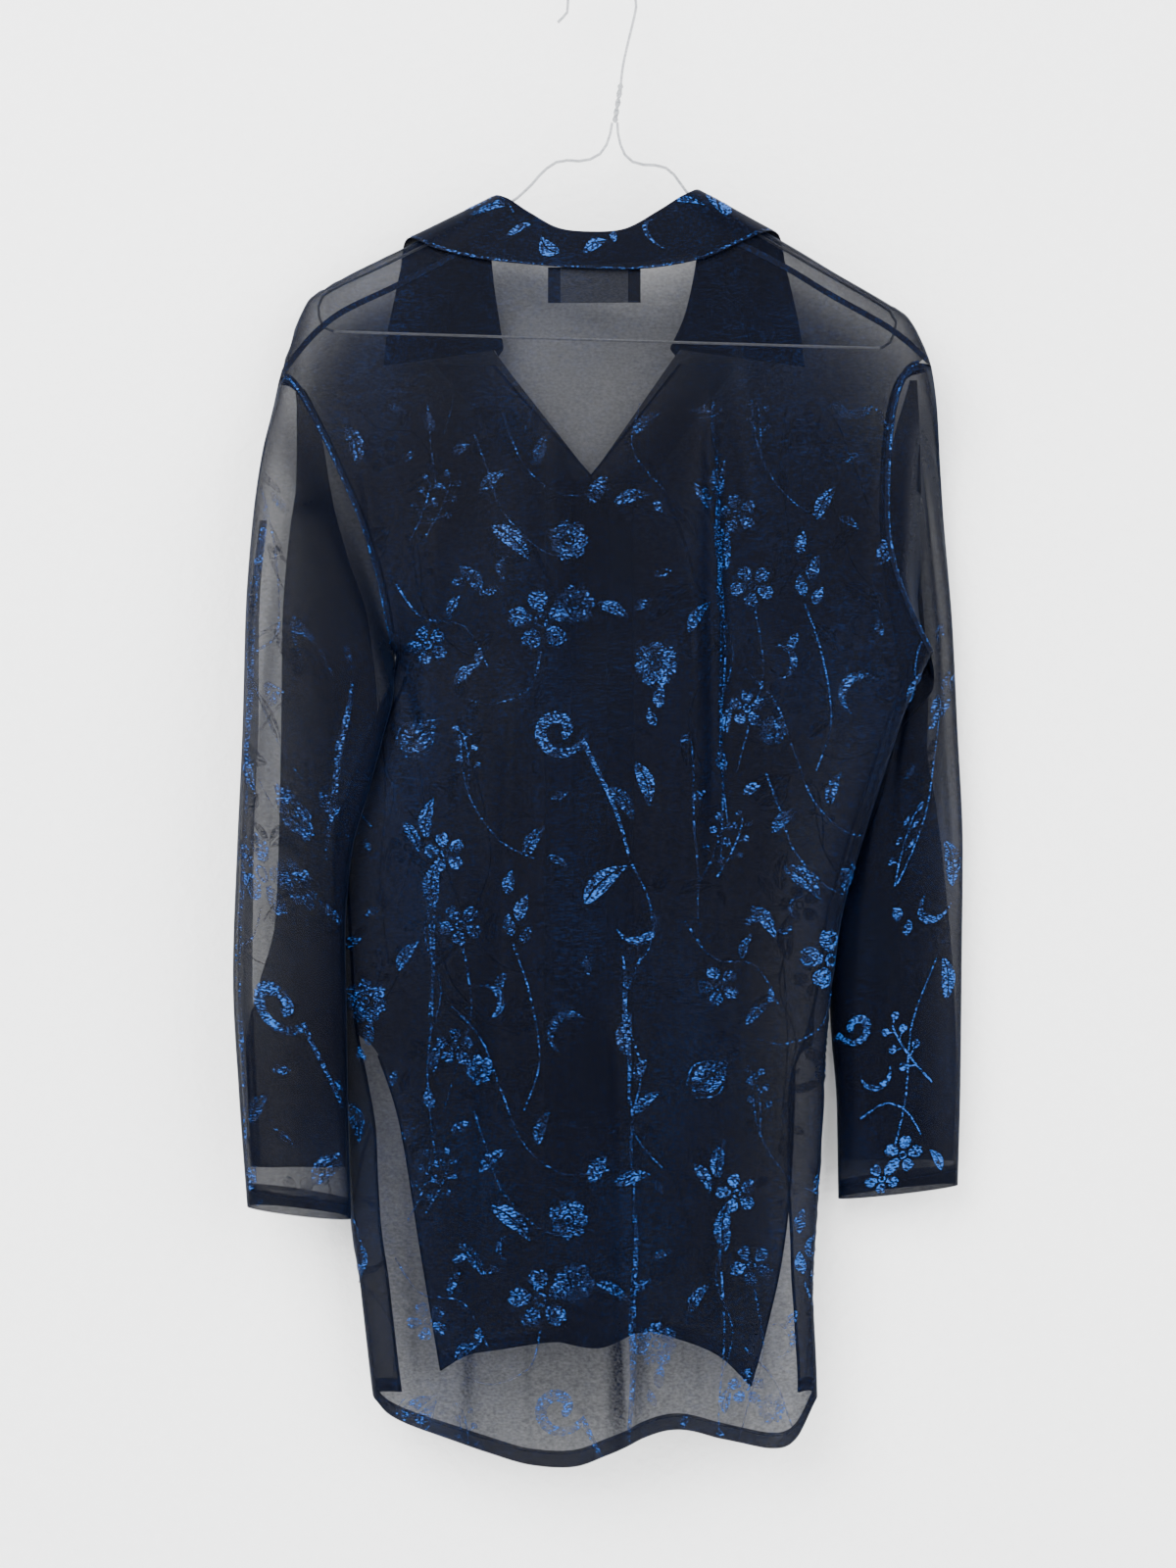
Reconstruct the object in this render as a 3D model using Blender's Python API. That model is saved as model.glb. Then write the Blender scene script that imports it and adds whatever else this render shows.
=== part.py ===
"""A long mesh blouse hanging on a wire hanger, with its back towards -Y.

The frame is in metres with +Z up.  +X is to the right as the back of the blouse is looked at,
and +Y goes from the back to the fronts.  The origin is the inside top of the hanger's hook.
Sizes below are in millimetres and are turned into metres where a mesh is made.
The wearer's left is at -X.
"""
import math
from collections import namedtuple

import bmesh
import bpy
from mathutils import Vector

MM = 0.001

# Cloth
WALL = 1.2
HEM_WALL = 1.9
HEM_TURN = 14.0
SEAM_GAP = 1.0
TIP_SEAM_GAP = 1.7
NECK_GAP = 1.4
ARMHOLE_GAP = 3.3
SIDE_GAP = 2.4
FACING_WALL = 1.0
LAYER_GAP = 0.9
BACK = -1
FRONT = 1

# Wire hanger, which is turned a little about the vertical, with the blouse on it
WIRE_RADIUS = 1.1
HOOK_RADIUS = 25.0
HANGER_TURN = -0.03
WIRE_TO_CLOTH = 4.6

# Torso, as a flattened ring: its folded edges, and how far each face stands off its middle
Ring = namedtuple("Ring", "z left right back front")
TORSO = [
    Ring(-160, -300, 300, 9, 9),
    Ring(-200, -298, 298, 13, 12),
    Ring(-260, -294, 294, 17, 16),
    Ring(-320, -280, 286, 20, 18),
    Ring(-400, -238, 266, 23, 19),
    Ring(-460, -190, 251, 25, 20),
    Ring(-482, -168, 245, 25, 20),
    Ring(-498, -151, 239, 26, 21),
    Ring(-545, -167, 219, 27, 21),
    Ring(-591, -184, 204, 27, 22),
    Ring(-637, -197, 189, 28, 22),
    Ring(-692, -195, 174, 28, 22),
    Ring(-780, -190, 164, 28, 21),
    Ring(-843, -187, 161, 28, 20),
    Ring(-905, -184, 157, 28, 20),
    Ring(-960, -177, 154, 27, 19),
    Ring(-1035, -168, 157, 26, 18),
    Ring(-1090, -160, 148, 26, 18),
]
RING_SQUARENESS = 2.5
CREST_ROUNDING = 22.0

# The line of the shoulders: it lies on the hanger's arms, and drops past their ends
Point = namedtuple("Point", "x z")
LEFT_ARM_KNEE = Point(-71, -170)
LEFT_ARM_END = Point(-202, -233)
RIGHT_ARM_KNEE = Point(64, -162)
RIGHT_ARM_END = Point(208, -247)
CREST = [
    Point(-244, -335),
    Point(-236, -296),
    Point(-229, -272),
    Point(-220, -247),
    Point(-213, -236),
    Point(LEFT_ARM_END.x, LEFT_ARM_END.z + WIRE_TO_CLOTH),
    Point(LEFT_ARM_KNEE.x, LEFT_ARM_KNEE.z + WIRE_TO_CLOTH),
    Point(-60, -160),
    Point(54, -152),
    Point(RIGHT_ARM_KNEE.x, RIGHT_ARM_KNEE.z + WIRE_TO_CLOTH),
    Point(RIGHT_ARM_END.x, RIGHT_ARM_END.z + WIRE_TO_CLOTH),
    Point(219, -249),
    Point(226, -257),
    Point(233, -271),
    Point(239, -287),
    Point(247, -330),
]

# Shoulder seams lie on the back, a little under the shoulder line
LEFT_SHOULDER_SEAM = [
    Point(-94, -201),
    Point(-118, -214),
    Point(-151, -231),
    Point(-187, -248),
    Point(-206, -262),
    Point(-220, -277),
    Point(-231, -290),
]
RIGHT_SHOULDER_SEAM = [
    Point(86, -195),
    Point(104, -203),
    Point(134, -219),
    Point(163, -237),
    Point(186, -250),
    Point(205, -261),
    Point(220, -272),
    Point(233, -283),
]

# Collar, one row for each section: it is sewn on at the seam, turns over at the fold and ends
# at the edge.  Turn is 1 on the fronts, 0 over the shoulder and -1 on the back.
CollarRow = namedtuple("CollarRow", "seam_x seam_z fold_x fold_z edge_x edge_z turn")
COLLAR = [
    CollarRow(-76, -277, -73, -271, -161, -283, 1),
    CollarRow(-87, -256, -76, -250, -158, -259, 1),
    CollarRow(-95, -232, -80, -221, -153, -236, 1),
    CollarRow(-98, -204, -82, -190, -148, -213, 0.85),
    CollarRow(-98, -178, -80, -165, -142, -193, 0),
    CollarRow(-95, -194, -70, -166, -121, -203, -0.85),
    CollarRow(-80, -207, -53, -177, -90, -211, -1),
    CollarRow(-48, -212, -32, -189, -50, -216, -1),
    CollarRow(-8, -214, -8, -192, -8, -219, -1),
    CollarRow(34, -212, 17, -190, 34, -219, -1),
    CollarRow(68, -205, 41, -177, 73, -212, -1),
    CollarRow(89, -189, 60, -165, 103, -199, -0.85),
    CollarRow(92, -173, 72, -161, 127, -190, 0),
    CollarRow(92, -201, 72, -187, 135, -213, 0.85),
    CollarRow(85, -230, 68, -219, 141, -237, 1),
    CollarRow(71, -255, 61, -249, 146, -261, 1),
    CollarRow(54, -277, 51, -271, 149, -285, 1),
]
LEAF_LIFT = 3.4
FOLD_LIFT = 1.36
LEAF_CROWDING = 1.3
FOLD_SPREAD = 3.0
SEAM_START = 0.06
COLLAR_SECTIONS = 32
COLLAR_STEPS = 5

# Front opening: the V runs from the collar's ends to the first button, then the right front
# lies over the left one
V_BOTTOM = Point(-8, -365)
OVERLAP_START = -384
LEFT_FRONT_EDGE = 4
RIGHT_FRONT_EDGE = -22
OVERLAP_LIFT = 2.2
OVERLAP_FADE = 44
EDGE_LEVELS = (-560, -760)
FACING_WIDTH = 44
FACING_TOP_DROP = 6
FACING_INSET = 2.0
FACING_BOTTOM = -985

# Hems, from the left corner to the right one
SLIT_TOP = -760
BACK_HEM = [
    Point(-168, -1038),
    Point(-153, -1050),
    Point(-119, -1063),
    Point(-81, -1073),
    Point(-50, -1082),
    Point(-21, -1084),
    Point(4, -1074),
    Point(31, -1060),
    Point(58, -1056),
    Point(87, -1063),
    Point(121, -1071),
    Point(140, -1065),
    Point(157, -1036),
]
LEFT_FRONT_HEM = [
    Point(4, -1004),
    Point(-36, -1002),
    Point(-78, -1009),
    Point(-100, -1013),
    Point(-118, -1023),
]
RIGHT_FRONT_HEM = [
    Point(-30, -1003),
    Point(-1, -1007),
    Point(29, -995),
    Point(51, -998),
    Point(86, -1012),
    Point(109, -1033),
]
LEFT_SLIT = [Point(-164, -791), Point(-148, -841), Point(-133, -932), Point(-118, -1023)]
RIGHT_SLIT = [Point(141, -800), Point(138, -880), Point(131, -940), Point(120, -990), Point(109, -1033)]
SIDE_WRAP = 10.0
UNDERARM = -512
LEFT_SLIT_WRAP = 20.0
RIGHT_SLIT_WRAP = 7.0
WRAP_GROWTH = 90.0

# Sleeves, one row for each ring, from the armhole to the cuff
SleeveRing = namedtuple("SleeveRing", "outer_x outer_z inner_x inner_z middle half_depth bow")
LEFT_SLEEVE = [
    SleeveRing(-236, -296, -151, -498, 6, 20, 17),
    SleeveRing(-245, -345, -170, -524, -13, 18, 12),
    SleeveRing(-252, -400, -173, -562, -21, 18, 6),
    SleeveRing(-257, -470, -179, -600, -22, 18, 2),
    SleeveRing(-259, -550, -188, -640, -22, 18, 0),
    SleeveRing(-263, -640, -185, -700, -22, 18, 0),
    SleeveRing(-266, -730, -184, -768, -21, 18, 0),
    SleeveRing(-262, -812, -183, -834, -20, 18, 0),
    SleeveRing(-256, -896, -181, -905, -19, 18, 0),
]
RIGHT_SLEEVE = [
    SleeveRing(239, -287, 239, -498, -7, 20, 34),
    SleeveRing(247, -340, 250, -518, 12, 16, 17),
    SleeveRing(252, -400, 231, -556, 19, 15, 5),
    SleeveRing(258, -470, 203, -602, 20, 15, 0),
    SleeveRing(262, -550, 183, -647, 20, 15, 0),
    SleeveRing(266, -640, 171, -697, 20, 15, 0),
    SleeveRing(265, -728, 168, -755, 19, 15, 0),
    SleeveRing(264, -811, 173, -829, 18, 15, 0),
    SleeveRing(262, -886, 174, -896, 18, 15, 0),
]
UPPER_BOW = 0.5
LOWER_BOW = 2.2
SLEEVE_ROUNDNESS = 0.85
ARMHOLE_BLEND = 0.16
TIP_INSET = 1.6

# Largest folds of the panels, as soft ridges (height above 0) and troughs (below 0)
Fold = namedtuple("Fold", "face top_x top_z bottom_x bottom_z half_width height")
FOLDS = [
    Fold(BACK, 80, -310, 86, -760, 24, 7),
    Fold(BACK, 16, -700, 24, -1100, 30, 7),
    Fold(BACK, -58, -330, -76, -1100, 34, 4),
    Fold(BACK, -132, -560, -118, -1100, 32, -5),
    Fold(BACK, 132, -620, 108, -1100, 30, -5),
    Fold(BACK, -22, -420, -26, -1100, 30, -4),
    Fold(FRONT, -112, -330, -88, -1020, 30, 4),
    Fold(FRONT, 96, -330, 78, -1020, 32, 4),
    Fold(FRONT, -150, -560, -140, -1020, 24, -3),
    Fold(FRONT, 140, -560, 122, -1020, 26, -3),
]
FOLD_FADE = 110.0

# Neck label, bare, sewn inside the back under the collar
LABEL_LEFT = -39
LABEL_RIGHT = 28
LABEL_TOP = -217
LABEL_BOTTOM = -243

# Buttons of the front
BUTTON_COUNT = 6
BUTTON_TOP = -378
BUTTON_PITCH = 108
BUTTON_RADIUS = 5.5
BUTTON_DEPTH = 2.4
BUTTON_RIM = 1.2
BUTTON_DISH = 0.7
BUTTON_SIDES = 16

# Grid sizes of the cloth walls
BACK_COLUMNS = 24
BACK_ROWS = 26
BACK_CROWDING = 1.25
BACK_LENGTH = 870
FRONT_COLUMNS = 13
FRONT_ROWS = 28
FRONT_CROWDING = 1.6
FRONT_LENGTH = 830
FACING_COLUMNS = 2
FACING_ROWS = 20
SLEEVE_SIDES = 16
SLEEVE_RINGS = 16
SLEEVE_LENGTH = 605
ARMHOLE_STEPS = 14
UNDERARM_LIMIT = 0.9999
SIDE_STEPS = 16
WIRE_SIDES = 6
WIRE_STEP = 8.0
HOOK_STEP = 5.0
TWIST_STEP = 1.6
TWIST_TURNS = 2.5
LOBE_POINTS = 5
LOBE_REACH = math.radians(80)
BAR_STEP = 60.0


def clear_scene():
    """Remove every object of the starting scene."""
    for thing in list(bpy.data.objects):
        bpy.data.objects.remove(thing, do_unlink=True)


def material(name, colour, roughness, metallic=0.0):
    """A plain Principled material."""
    made = bpy.data.materials.new(name)
    made.use_nodes = True
    shader = made.node_tree.nodes["Principled BSDF"]
    shader.inputs["Base Color"].default_value = (*colour, 1.0)
    shader.inputs["Roughness"].default_value = roughness
    shader.inputs["Metallic"].default_value = metallic
    made.diffuse_color = (*colour, 1.0)
    return made


def add_object(name, mesh_build, finish):
    """Turn a bmesh in millimetres into a named object in metres."""
    bmesh.ops.recalc_face_normals(mesh_build, faces=mesh_build.faces)
    bmesh.ops.scale(mesh_build, vec=(MM, MM, MM), verts=mesh_build.verts)
    mesh = bpy.data.meshes.new(name)
    mesh_build.to_mesh(mesh)
    mesh_build.free()
    mesh.materials.append(finish)
    mesh.shade_smooth()
    mesh.set_sharp_from_angle(angle=math.radians(50))
    made = bpy.data.objects.new(name, mesh)
    bpy.context.scene.collection.objects.link(made)


def smooth_step(value):
    """0 below 0, 1 above 1, and a soft ramp between."""
    value = min(max(value, 0.0), 1.0)
    return value * value * (3 - 2 * value)


def read(rows, key, column, place):
    """A column's value at a place, on a smooth curve that doesn't overshoot the rows."""
    knots = [getattr(row, key) for row in rows]
    values = [getattr(row, column) for row in rows]
    if knots[0] > knots[-1]:
        knots.reverse()
        values.reverse()
    place = min(max(place, knots[0]), knots[-1])
    last = len(knots) - 1
    index = max(i for i in range(last) if knots[i] <= place)
    steps = [knots[i + 1] - knots[i] for i in range(last)]
    rises = [(values[i + 1] - values[i]) / steps[i] for i in range(last)]

    def slope(i):
        if i == 0:
            return rises[0]
        if i == last:
            return rises[-1]
        before, after = rises[i - 1], rises[i]
        return 0.0 if before * after <= 0 else 2 * before * after / (before + after)

    step = steps[index]
    t = (place - knots[index]) / step
    return (
        values[index] * (1 + 2 * t) * (1 - t) ** 2
        + slope(index) * step * t * (1 - t) ** 2
        + values[index + 1] * t * t * (3 - 2 * t)
        + slope(index + 1) * step * t * t * (t - 1)
    )


def crest_height(x):
    """Height of the shoulder line at x."""
    return read(CREST, "x", "z", x)


def crest_rounding(x, z):
    """How far the cloth has opened below the shoulder line, from 0 on it to 1."""
    slope = (crest_height(x + 1) - crest_height(x - 1)) / 2
    depth = (crest_height(x) - z) / math.hypot(1, slope)
    open_part = min(max(depth / CREST_ROUNDING, 0.0), 1.0)
    return math.sqrt(1 - (1 - open_part) ** 2)


def fold_offset(x, z, face):
    """Sum of the ridges and troughs of one face at a place."""
    total = 0.0
    for fold in FOLDS:
        if fold.face != face or z > fold.top_z or z < fold.bottom_z:
            continue
        along = (fold.top_z - z) / (fold.top_z - fold.bottom_z)
        centre = fold.top_x + (fold.bottom_x - fold.top_x) * along
        away = abs(x - centre) / fold.half_width
        if away < 1:
            fade = smooth_step((fold.top_z - z) / FOLD_FADE)
            total += fold.height * fade * math.cos(away * math.pi / 2) ** 2
    return total


def torso_y(x, z, face):
    """Depth of the back or the front at a place of the torso."""
    left = read(TORSO, "z", "left", z)
    right = read(TORSO, "z", "right", z)
    depth = read(TORSO, "z", "back" if face == BACK else "front", z)
    across = min(abs((2 * x - left - right) / (right - left)), 1.0)
    open_side = (1 - across**RING_SQUARENESS) ** (1 / RING_SQUARENESS)
    opened = open_side * crest_rounding(x, z)
    return HANGER_TURN * x + face * opened * (depth + fold_offset(x, z, face))


def on_torso(x, height, face):
    """A point of the cloth, which goes over the shoulder line and round the folded edges."""
    crest = crest_height(x)
    if height > crest:
        height = 2 * crest - height
        face = -face
    left = read(TORSO, "z", "left", height)
    right = read(TORSO, "z", "right", height)
    if x < left:
        x = 2 * left - x
        face = -face
    if x > right:
        x = 2 * right - x
        face = -face
    return Vector((x, torso_y(x, height, face), height))


def between(rows, index, t):
    """Values at a fraction t from one row to the next, on a smooth curve through all rows."""
    first = rows[max(index - 1, 0)]
    last = rows[min(index + 2, len(rows) - 1)]
    values = []
    for a, b, c, d in zip(first, rows[index], rows[index + 1], last):
        square = 2 * a - 5 * b + 4 * c - d
        cube = 3 * b - a - 3 * c + d
        values.append(0.5 * (2 * b + (c - a) * t + square * t**2 + cube * t**3))
    return values


def resample(points, fraction):
    """The point at a fraction of a polyline's length, on a curve through its points."""
    lengths = [0.0]
    for before, after in zip(points, points[1:]):
        lengths.append(lengths[-1] + math.dist(before, after))
    place = min(max(fraction, 0.0), 1.0) * lengths[-1]
    index = max(i for i in range(len(points) - 1) if lengths[i] <= place)
    t = (place - lengths[index]) / (lengths[index + 1] - lengths[index])
    return between(points, index, t)


def patch(top, bottom, start, end, columns, rows, crowding):
    """Flat pattern points inside four edges, closer together at both sides and at the top."""
    grid = []
    for j in range(rows + 1):
        v = (j / rows) ** crowding
        line = []
        for i in range(columns + 1):
            even = i / columns
            s = 0.5 * even + 0.25 * (1 - math.cos(math.pi * even))
            sides = []
            for k in range(2):
                t, b = resample(top, s)[k], resample(bottom, s)[k]
                a, e = resample(start, v)[k], resample(end, v)[k]
                corners = (
                    (1 - s) * (1 - v) * top[0][k]
                    + s * (1 - v) * top[-1][k]
                    + (1 - s) * v * bottom[0][k]
                    + s * v * bottom[-1][k]
                )
                sides.append((1 - v) * t + v * b + (1 - s) * a + s * e - corners)
            line.append(sides)
        grid.append(line)
    return grid


def grid_normals(grid, closed):
    """A unit normal for each point of a grid of vectors."""
    rows, columns = len(grid), len(grid[0])
    normals = []
    for j in range(rows):
        line = []
        for i in range(columns):
            if closed:
                right = grid[j][(i + 1) % columns]
                left = grid[j][(i - 1) % columns]
            else:
                right = grid[j][min(i + 1, columns - 1)]
                left = grid[j][max(i - 1, 0)]
            down = grid[min(j + 1, rows - 1)][i]
            up = grid[max(j - 1, 0)][i]
            line.append((right - left).cross(down - up).normalized())
        normals.append(line)
    return normals


def wall_mesh(grid, thickness, closed=False):
    """A closed wall of cloth on a grid of middle points.  Thickness is a function of the point."""
    rows, columns = len(grid), len(grid[0])
    normals = grid_normals(grid, closed)
    build = bmesh.new()
    sides = []
    for sign in (1, -1):
        side = []
        for j in range(rows):
            line = []
            for i in range(columns):
                point = grid[j][i]
                half = sign * thickness(point, j / (rows - 1)) / 2
                line.append(build.verts.new(point + normals[j][i] * half))
            side.append(line)
        sides.append(side)
    outer, inner = sides
    spans = columns if closed else columns - 1
    for j in range(rows - 1):
        for i in range(spans):
            k = (i + 1) % columns
            build.faces.new((outer[j][i], outer[j][k], outer[j + 1][k], outer[j + 1][i]))
            build.faces.new((inner[j][i], inner[j + 1][i], inner[j + 1][k], inner[j][k]))
    for i in range(spans):
        k = (i + 1) % columns
        for j in (0, rows - 1):
            build.faces.new((outer[j][i], inner[j][i], inner[j][k], outer[j][k]))
    if not closed:
        for j in range(rows - 1):
            for i in (0, columns - 1):
                build.faces.new((outer[j][i], outer[j + 1][i], inner[j + 1][i], inner[j][i]))
    return build


def hem_thickness(length):
    """Wall thickness of a panel of some length, thicker where its hem is turned up."""
    turn = HEM_TURN / length

    def thickness(point, down):
        return HEM_WALL if down > 1 - turn else WALL

    return thickness


def even_thickness(size):
    """Wall thickness that is the same all over."""
    return lambda point, down: size


def armhole(rings, angle, outset=0.0):
    """Place of the armhole's edge: 0 is the shoulder's tip and pi is the underarm."""
    ring = rings[0]
    outer = Vector((ring.outer_x, ring.outer_z))
    inner = Vector((ring.inner_x, ring.inner_z))
    centre = (outer + inner) / 2
    reach = (outer - inner) / 2
    inward = Vector((-reach.y, reach.x)).normalized()
    if inward.x * centre.x > 0:
        inward = -inward
    bow = (ring.bow + outset) * math.sin(angle) ** (UPPER_BOW if angle < math.pi / 2 else LOWER_BOW)
    place = centre + reach * math.cos(angle) * (1 + outset / reach.length) + inward * bow
    return place.x, place.y


def armhole_edge(rings):
    """The edge of a panel along an armhole, from just past the shoulder's tip to the underarm."""
    angles = [math.pi * min(k / ARMHOLE_STEPS, UNDERARM_LIMIT) for k in range(2, ARMHOLE_STEPS + 1)]
    return [armhole(rings, angle, ARMHOLE_GAP) for angle in angles]


def wrap_width(z, slit_wrap):
    """How far the back goes round a side's fold, more below the slit's top."""
    return SIDE_WRAP + (slit_wrap - SIDE_WRAP) * smooth_step((SLIT_TOP - z) / WRAP_GROWTH)


def side_heights(bottom):
    """Heights of the side seam's points, from just under the arm to the hem."""
    return [UNDERARM + (bottom - UNDERARM) * k / SIDE_STEPS for k in range(SIDE_STEPS + 1)]


def back_side(side, column, slit_wrap, corner):
    """Side edge of the back below the arm, past the fold by the wrap's width."""
    edge = []
    for z in side_heights(corner.z):
        edge.append((read(TORSO, "z", column, z) + side * wrap_width(z, slit_wrap), z))
    return edge


def shoulder_seam(points, face_of_seam):
    """A shoulder seam as pattern points of the back (-1) or of a front (1), half a gap apart."""
    edge = []
    for point in points:
        gap = TIP_SEAM_GAP if point is points[-1] else SEAM_GAP / 2
        z = point.z + face_of_seam * gap
        edge.append((point.x, z if face_of_seam == BACK else 2 * crest_height(point.x) - z))
    return edge


def make_back(finish):
    """The back: shoulder seams, back neck, armholes, side seams and the longer hem."""
    neck = [(row.seam_x, row.seam_z - SEAM_GAP) for row in COLLAR if row.turn == BACK]
    left_seam = shoulder_seam(LEFT_SHOULDER_SEAM, BACK)
    right_seam = shoulder_seam(RIGHT_SHOULDER_SEAM, BACK)
    left_hole = armhole_edge(LEFT_SLEEVE)
    right_hole = armhole_edge(RIGHT_SLEEVE)
    top = left_seam[::-1] + neck + right_seam
    left_side = [left_seam[-1]] + left_hole + back_side(-1, "left", LEFT_SLIT_WRAP, BACK_HEM[0])
    right_side = [right_seam[-1]] + right_hole + back_side(1, "right", RIGHT_SLIT_WRAP, BACK_HEM[-1])
    bottom = [left_side[-1]] + [tuple(point) for point in BACK_HEM] + [right_side[-1]]
    pattern = patch(top, bottom, left_side, right_side, BACK_COLUMNS, BACK_ROWS, BACK_CROWDING)
    grid = [[on_torso(x, z, BACK) for x, z in line] for line in pattern]
    add_object("back_panel", wall_mesh(grid, hem_thickness(BACK_LENGTH)), finish)


def front_neck(side):
    """Pattern points of a front's neckline, from its shoulder seam to the V."""
    rows = [row for row in COLLAR if row.seam_x * side > 0 and row.turn > BACK]
    rows.sort(key=lambda row: row.turn)
    edge = []
    for row in rows:
        height = row.seam_z
        if row.turn < 0:
            height = 2 * crest_height(row.seam_x) - height
        elif row.turn == 0:
            height = crest_height(row.seam_x)
        edge.append((row.seam_x + side * NECK_GAP, height))
    turned = [point for point, row in zip(edge, rows) if row.turn < 1]
    level = [point for point, row in zip(edge, rows) if row.turn == 1]
    return turned + sorted(level, key=lambda point: -point[1])


def front_depth(x, z, side):
    """How far a front moves off the shared front face where the two fronts overlap."""
    apart = abs(x - V_BOTTOM.x) / OVERLAP_FADE
    return side * OVERLAP_LIFT * (1 - smooth_step(apart - 0.5))


def put_row_on_crest(pattern):
    """Move the pattern point of each column that is nearest the shoulder line onto it."""
    for column in range(len(pattern[0])):
        line = [row[column] for row in pattern]
        away = [abs(height - crest_height(x)) for x, height in line]
        nearest = line[away.index(min(away))]
        if line[0][1] > crest_height(line[0][0]):
            nearest[1] = crest_height(nearest[0])


def make_front(name, side, rings, seam, hem, slit, edge_x, finish):
    """One front, from its shoulder seam over the shoulder and down to its hem."""
    column = "left" if side < 0 else "right"
    top = shoulder_seam(seam, FRONT)
    neck = front_neck(side)
    inner = [top[0]] + neck[1:]
    inner += [(V_BOTTOM.x, V_BOTTOM.z), (edge_x, OVERLAP_START)]
    inner += [(edge_x, level) for level in EDGE_LEVELS]
    inner.append((hem[0].x, hem[0].z))
    tip = rings[0].outer_x - side * TIP_INSET
    outer = [top[-1], (tip, crest_height(tip))] + armhole_edge(rings)
    for z in side_heights(slit[0].z):
        wrapped = wrap_width(z, SIDE_WRAP) + SIDE_GAP
        outer.append((read(TORSO, "z", column, z) - side * wrapped, z))
    outer.pop()
    outer += [(point.x, point.z) for point in slit]
    bottom = [(point.x, point.z) for point in hem]
    pattern = patch(top, bottom, inner, outer, FRONT_COLUMNS, FRONT_ROWS, FRONT_CROWDING)
    put_row_on_crest(pattern)
    grid = []
    for line in pattern:
        points = []
        for x, height in line:
            point = on_torso(x, height, FRONT)
            if point.y > HANGER_TURN * point.x:
                point.y += front_depth(point.x, point.z, side)
            points.append(point)
        grid.append(points)
    add_object(name, wall_mesh(grid, hem_thickness(FRONT_LENGTH)), finish)


def make_facing(name, side, edge_x, finish):
    """A facing inside a front, along the V and down beside the buttons."""
    corner = COLLAR[0] if side < 0 else COLLAR[-1]
    inner = [(corner.seam_x, corner.seam_z - FACING_TOP_DROP), (V_BOTTOM.x, V_BOTTOM.z)]
    inner.append((edge_x, OVERLAP_START))
    inner += [(edge_x, level) for level in EDGE_LEVELS]
    inner.append((edge_x, FACING_BOTTOM))
    inward = -(WALL / 2 + LAYER_GAP + FACING_WALL / 2)
    grid = []
    for j in range(FACING_ROWS + 1):
        x, z = resample(inner, j / FACING_ROWS)
        line = []
        for i in range(FACING_COLUMNS + 1):
            place = x + side * (FACING_INSET + FACING_WIDTH * i / FACING_COLUMNS)
            point = Vector((place, torso_y(place, z, FRONT) + front_depth(place, z, side) + inward, z))
            line.append(point)
        grid.append(line)
    add_object(name, wall_mesh(grid, even_thickness(FACING_WALL)), finish)


def make_sleeve(name, rings, finish):
    """A sleeve from its armhole to its cuff."""
    sections = [row._asdict() | {"place": k / (len(rings) - 1)} for k, row in enumerate(rings)]
    Section = namedtuple("Section", sections[0].keys())
    sections = [Section(**row) for row in sections]
    grid = []
    for j in range(SLEEVE_RINGS + 1):
        t = j / SLEEVE_RINGS
        values = {field: read(sections, "place", field, t) for field in rings[0]._fields}
        ring = SleeveRing(**values)
        joined = 1 - smooth_step(t / ARMHOLE_BLEND)
        line = []
        for i in range(SLEEVE_SIDES):
            angle = 2 * math.pi * i / SLEEVE_SIDES
            half_turn = angle if angle <= math.pi else 2 * math.pi - angle
            face = BACK if angle <= math.pi else FRONT
            x, z = armhole([ring], half_turn)
            reach = abs(math.sin(angle)) ** SLEEVE_ROUNDNESS
            y = ring.middle + face * ring.half_depth * reach
            if joined > 0:
                y = y * (1 - joined) + torso_y(x, z, face) * joined
            line.append(Vector((x, y, z)))
        grid.append(line)
    add_object(name, wall_mesh(grid, hem_thickness(SLEEVE_LENGTH), closed=True), finish)


def make_collar(finish):
    """The collar: a stand from the neck seam to the fold, and a leaf from the fold to its edge."""
    rows = []
    for k, row in enumerate(COLLAR):
        face = BACK if row.turn < 0 else FRONT
        seam_height = min(row.seam_z, crest_height(row.seam_x))
        seam_y = torso_y(row.seam_x, seam_height, face)
        middle = HANGER_TURN * row.edge_x
        leaf = torso_y(row.edge_x, min(row.edge_z, crest_height(row.edge_x)), face)
        edge_y = leaf + row.turn * LEAF_LIFT if row.turn else middle
        fold_y = seam_y + row.turn * FOLD_LIFT
        seam = (row.seam_x, seam_y, seam_height)
        fold = (row.fold_x, fold_y, row.fold_z)
        edge = (row.edge_x, edge_y, row.edge_z)
        rows.append(seam + fold + edge + (row.turn,))
    grid = []
    for j in range(COLLAR_SECTIONS + 1):
        place = j / COLLAR_SECTIONS * (len(rows) - 1)
        index = min(int(place), len(rows) - 2)
        t = place - index
        grid.append(collar_section(between(rows, index, t)))
    add_object("collar", wall_mesh(grid, even_thickness(WALL)), finish)


def collar_section(values):
    """Points across the collar at one section, with a round fold."""
    seam = Vector(values[0:3])
    fold = Vector(values[3:6])
    edge = Vector(values[6:9])
    turn = values[9]
    outward = Vector((edge.x - fold.x, turn * abs(edge.z - fold.z), 0))
    outward.normalize()
    stand_up = fold - seam
    leaf_down = edge - fold
    across = outward * FOLD_SPREAD * 2
    line = []
    for k in range(COLLAR_STEPS):
        t = k / COLLAR_STEPS
        line.append(hermite(seam + (fold - seam) * SEAM_START, fold, stand_up, across, t))
    for k in range(COLLAR_STEPS + 2):
        t = (k / (COLLAR_STEPS + 1)) ** LEAF_CROWDING
        line.append(clear_of_torso(hermite(fold, edge, across, leaf_down, t), turn))
    return line


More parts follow.
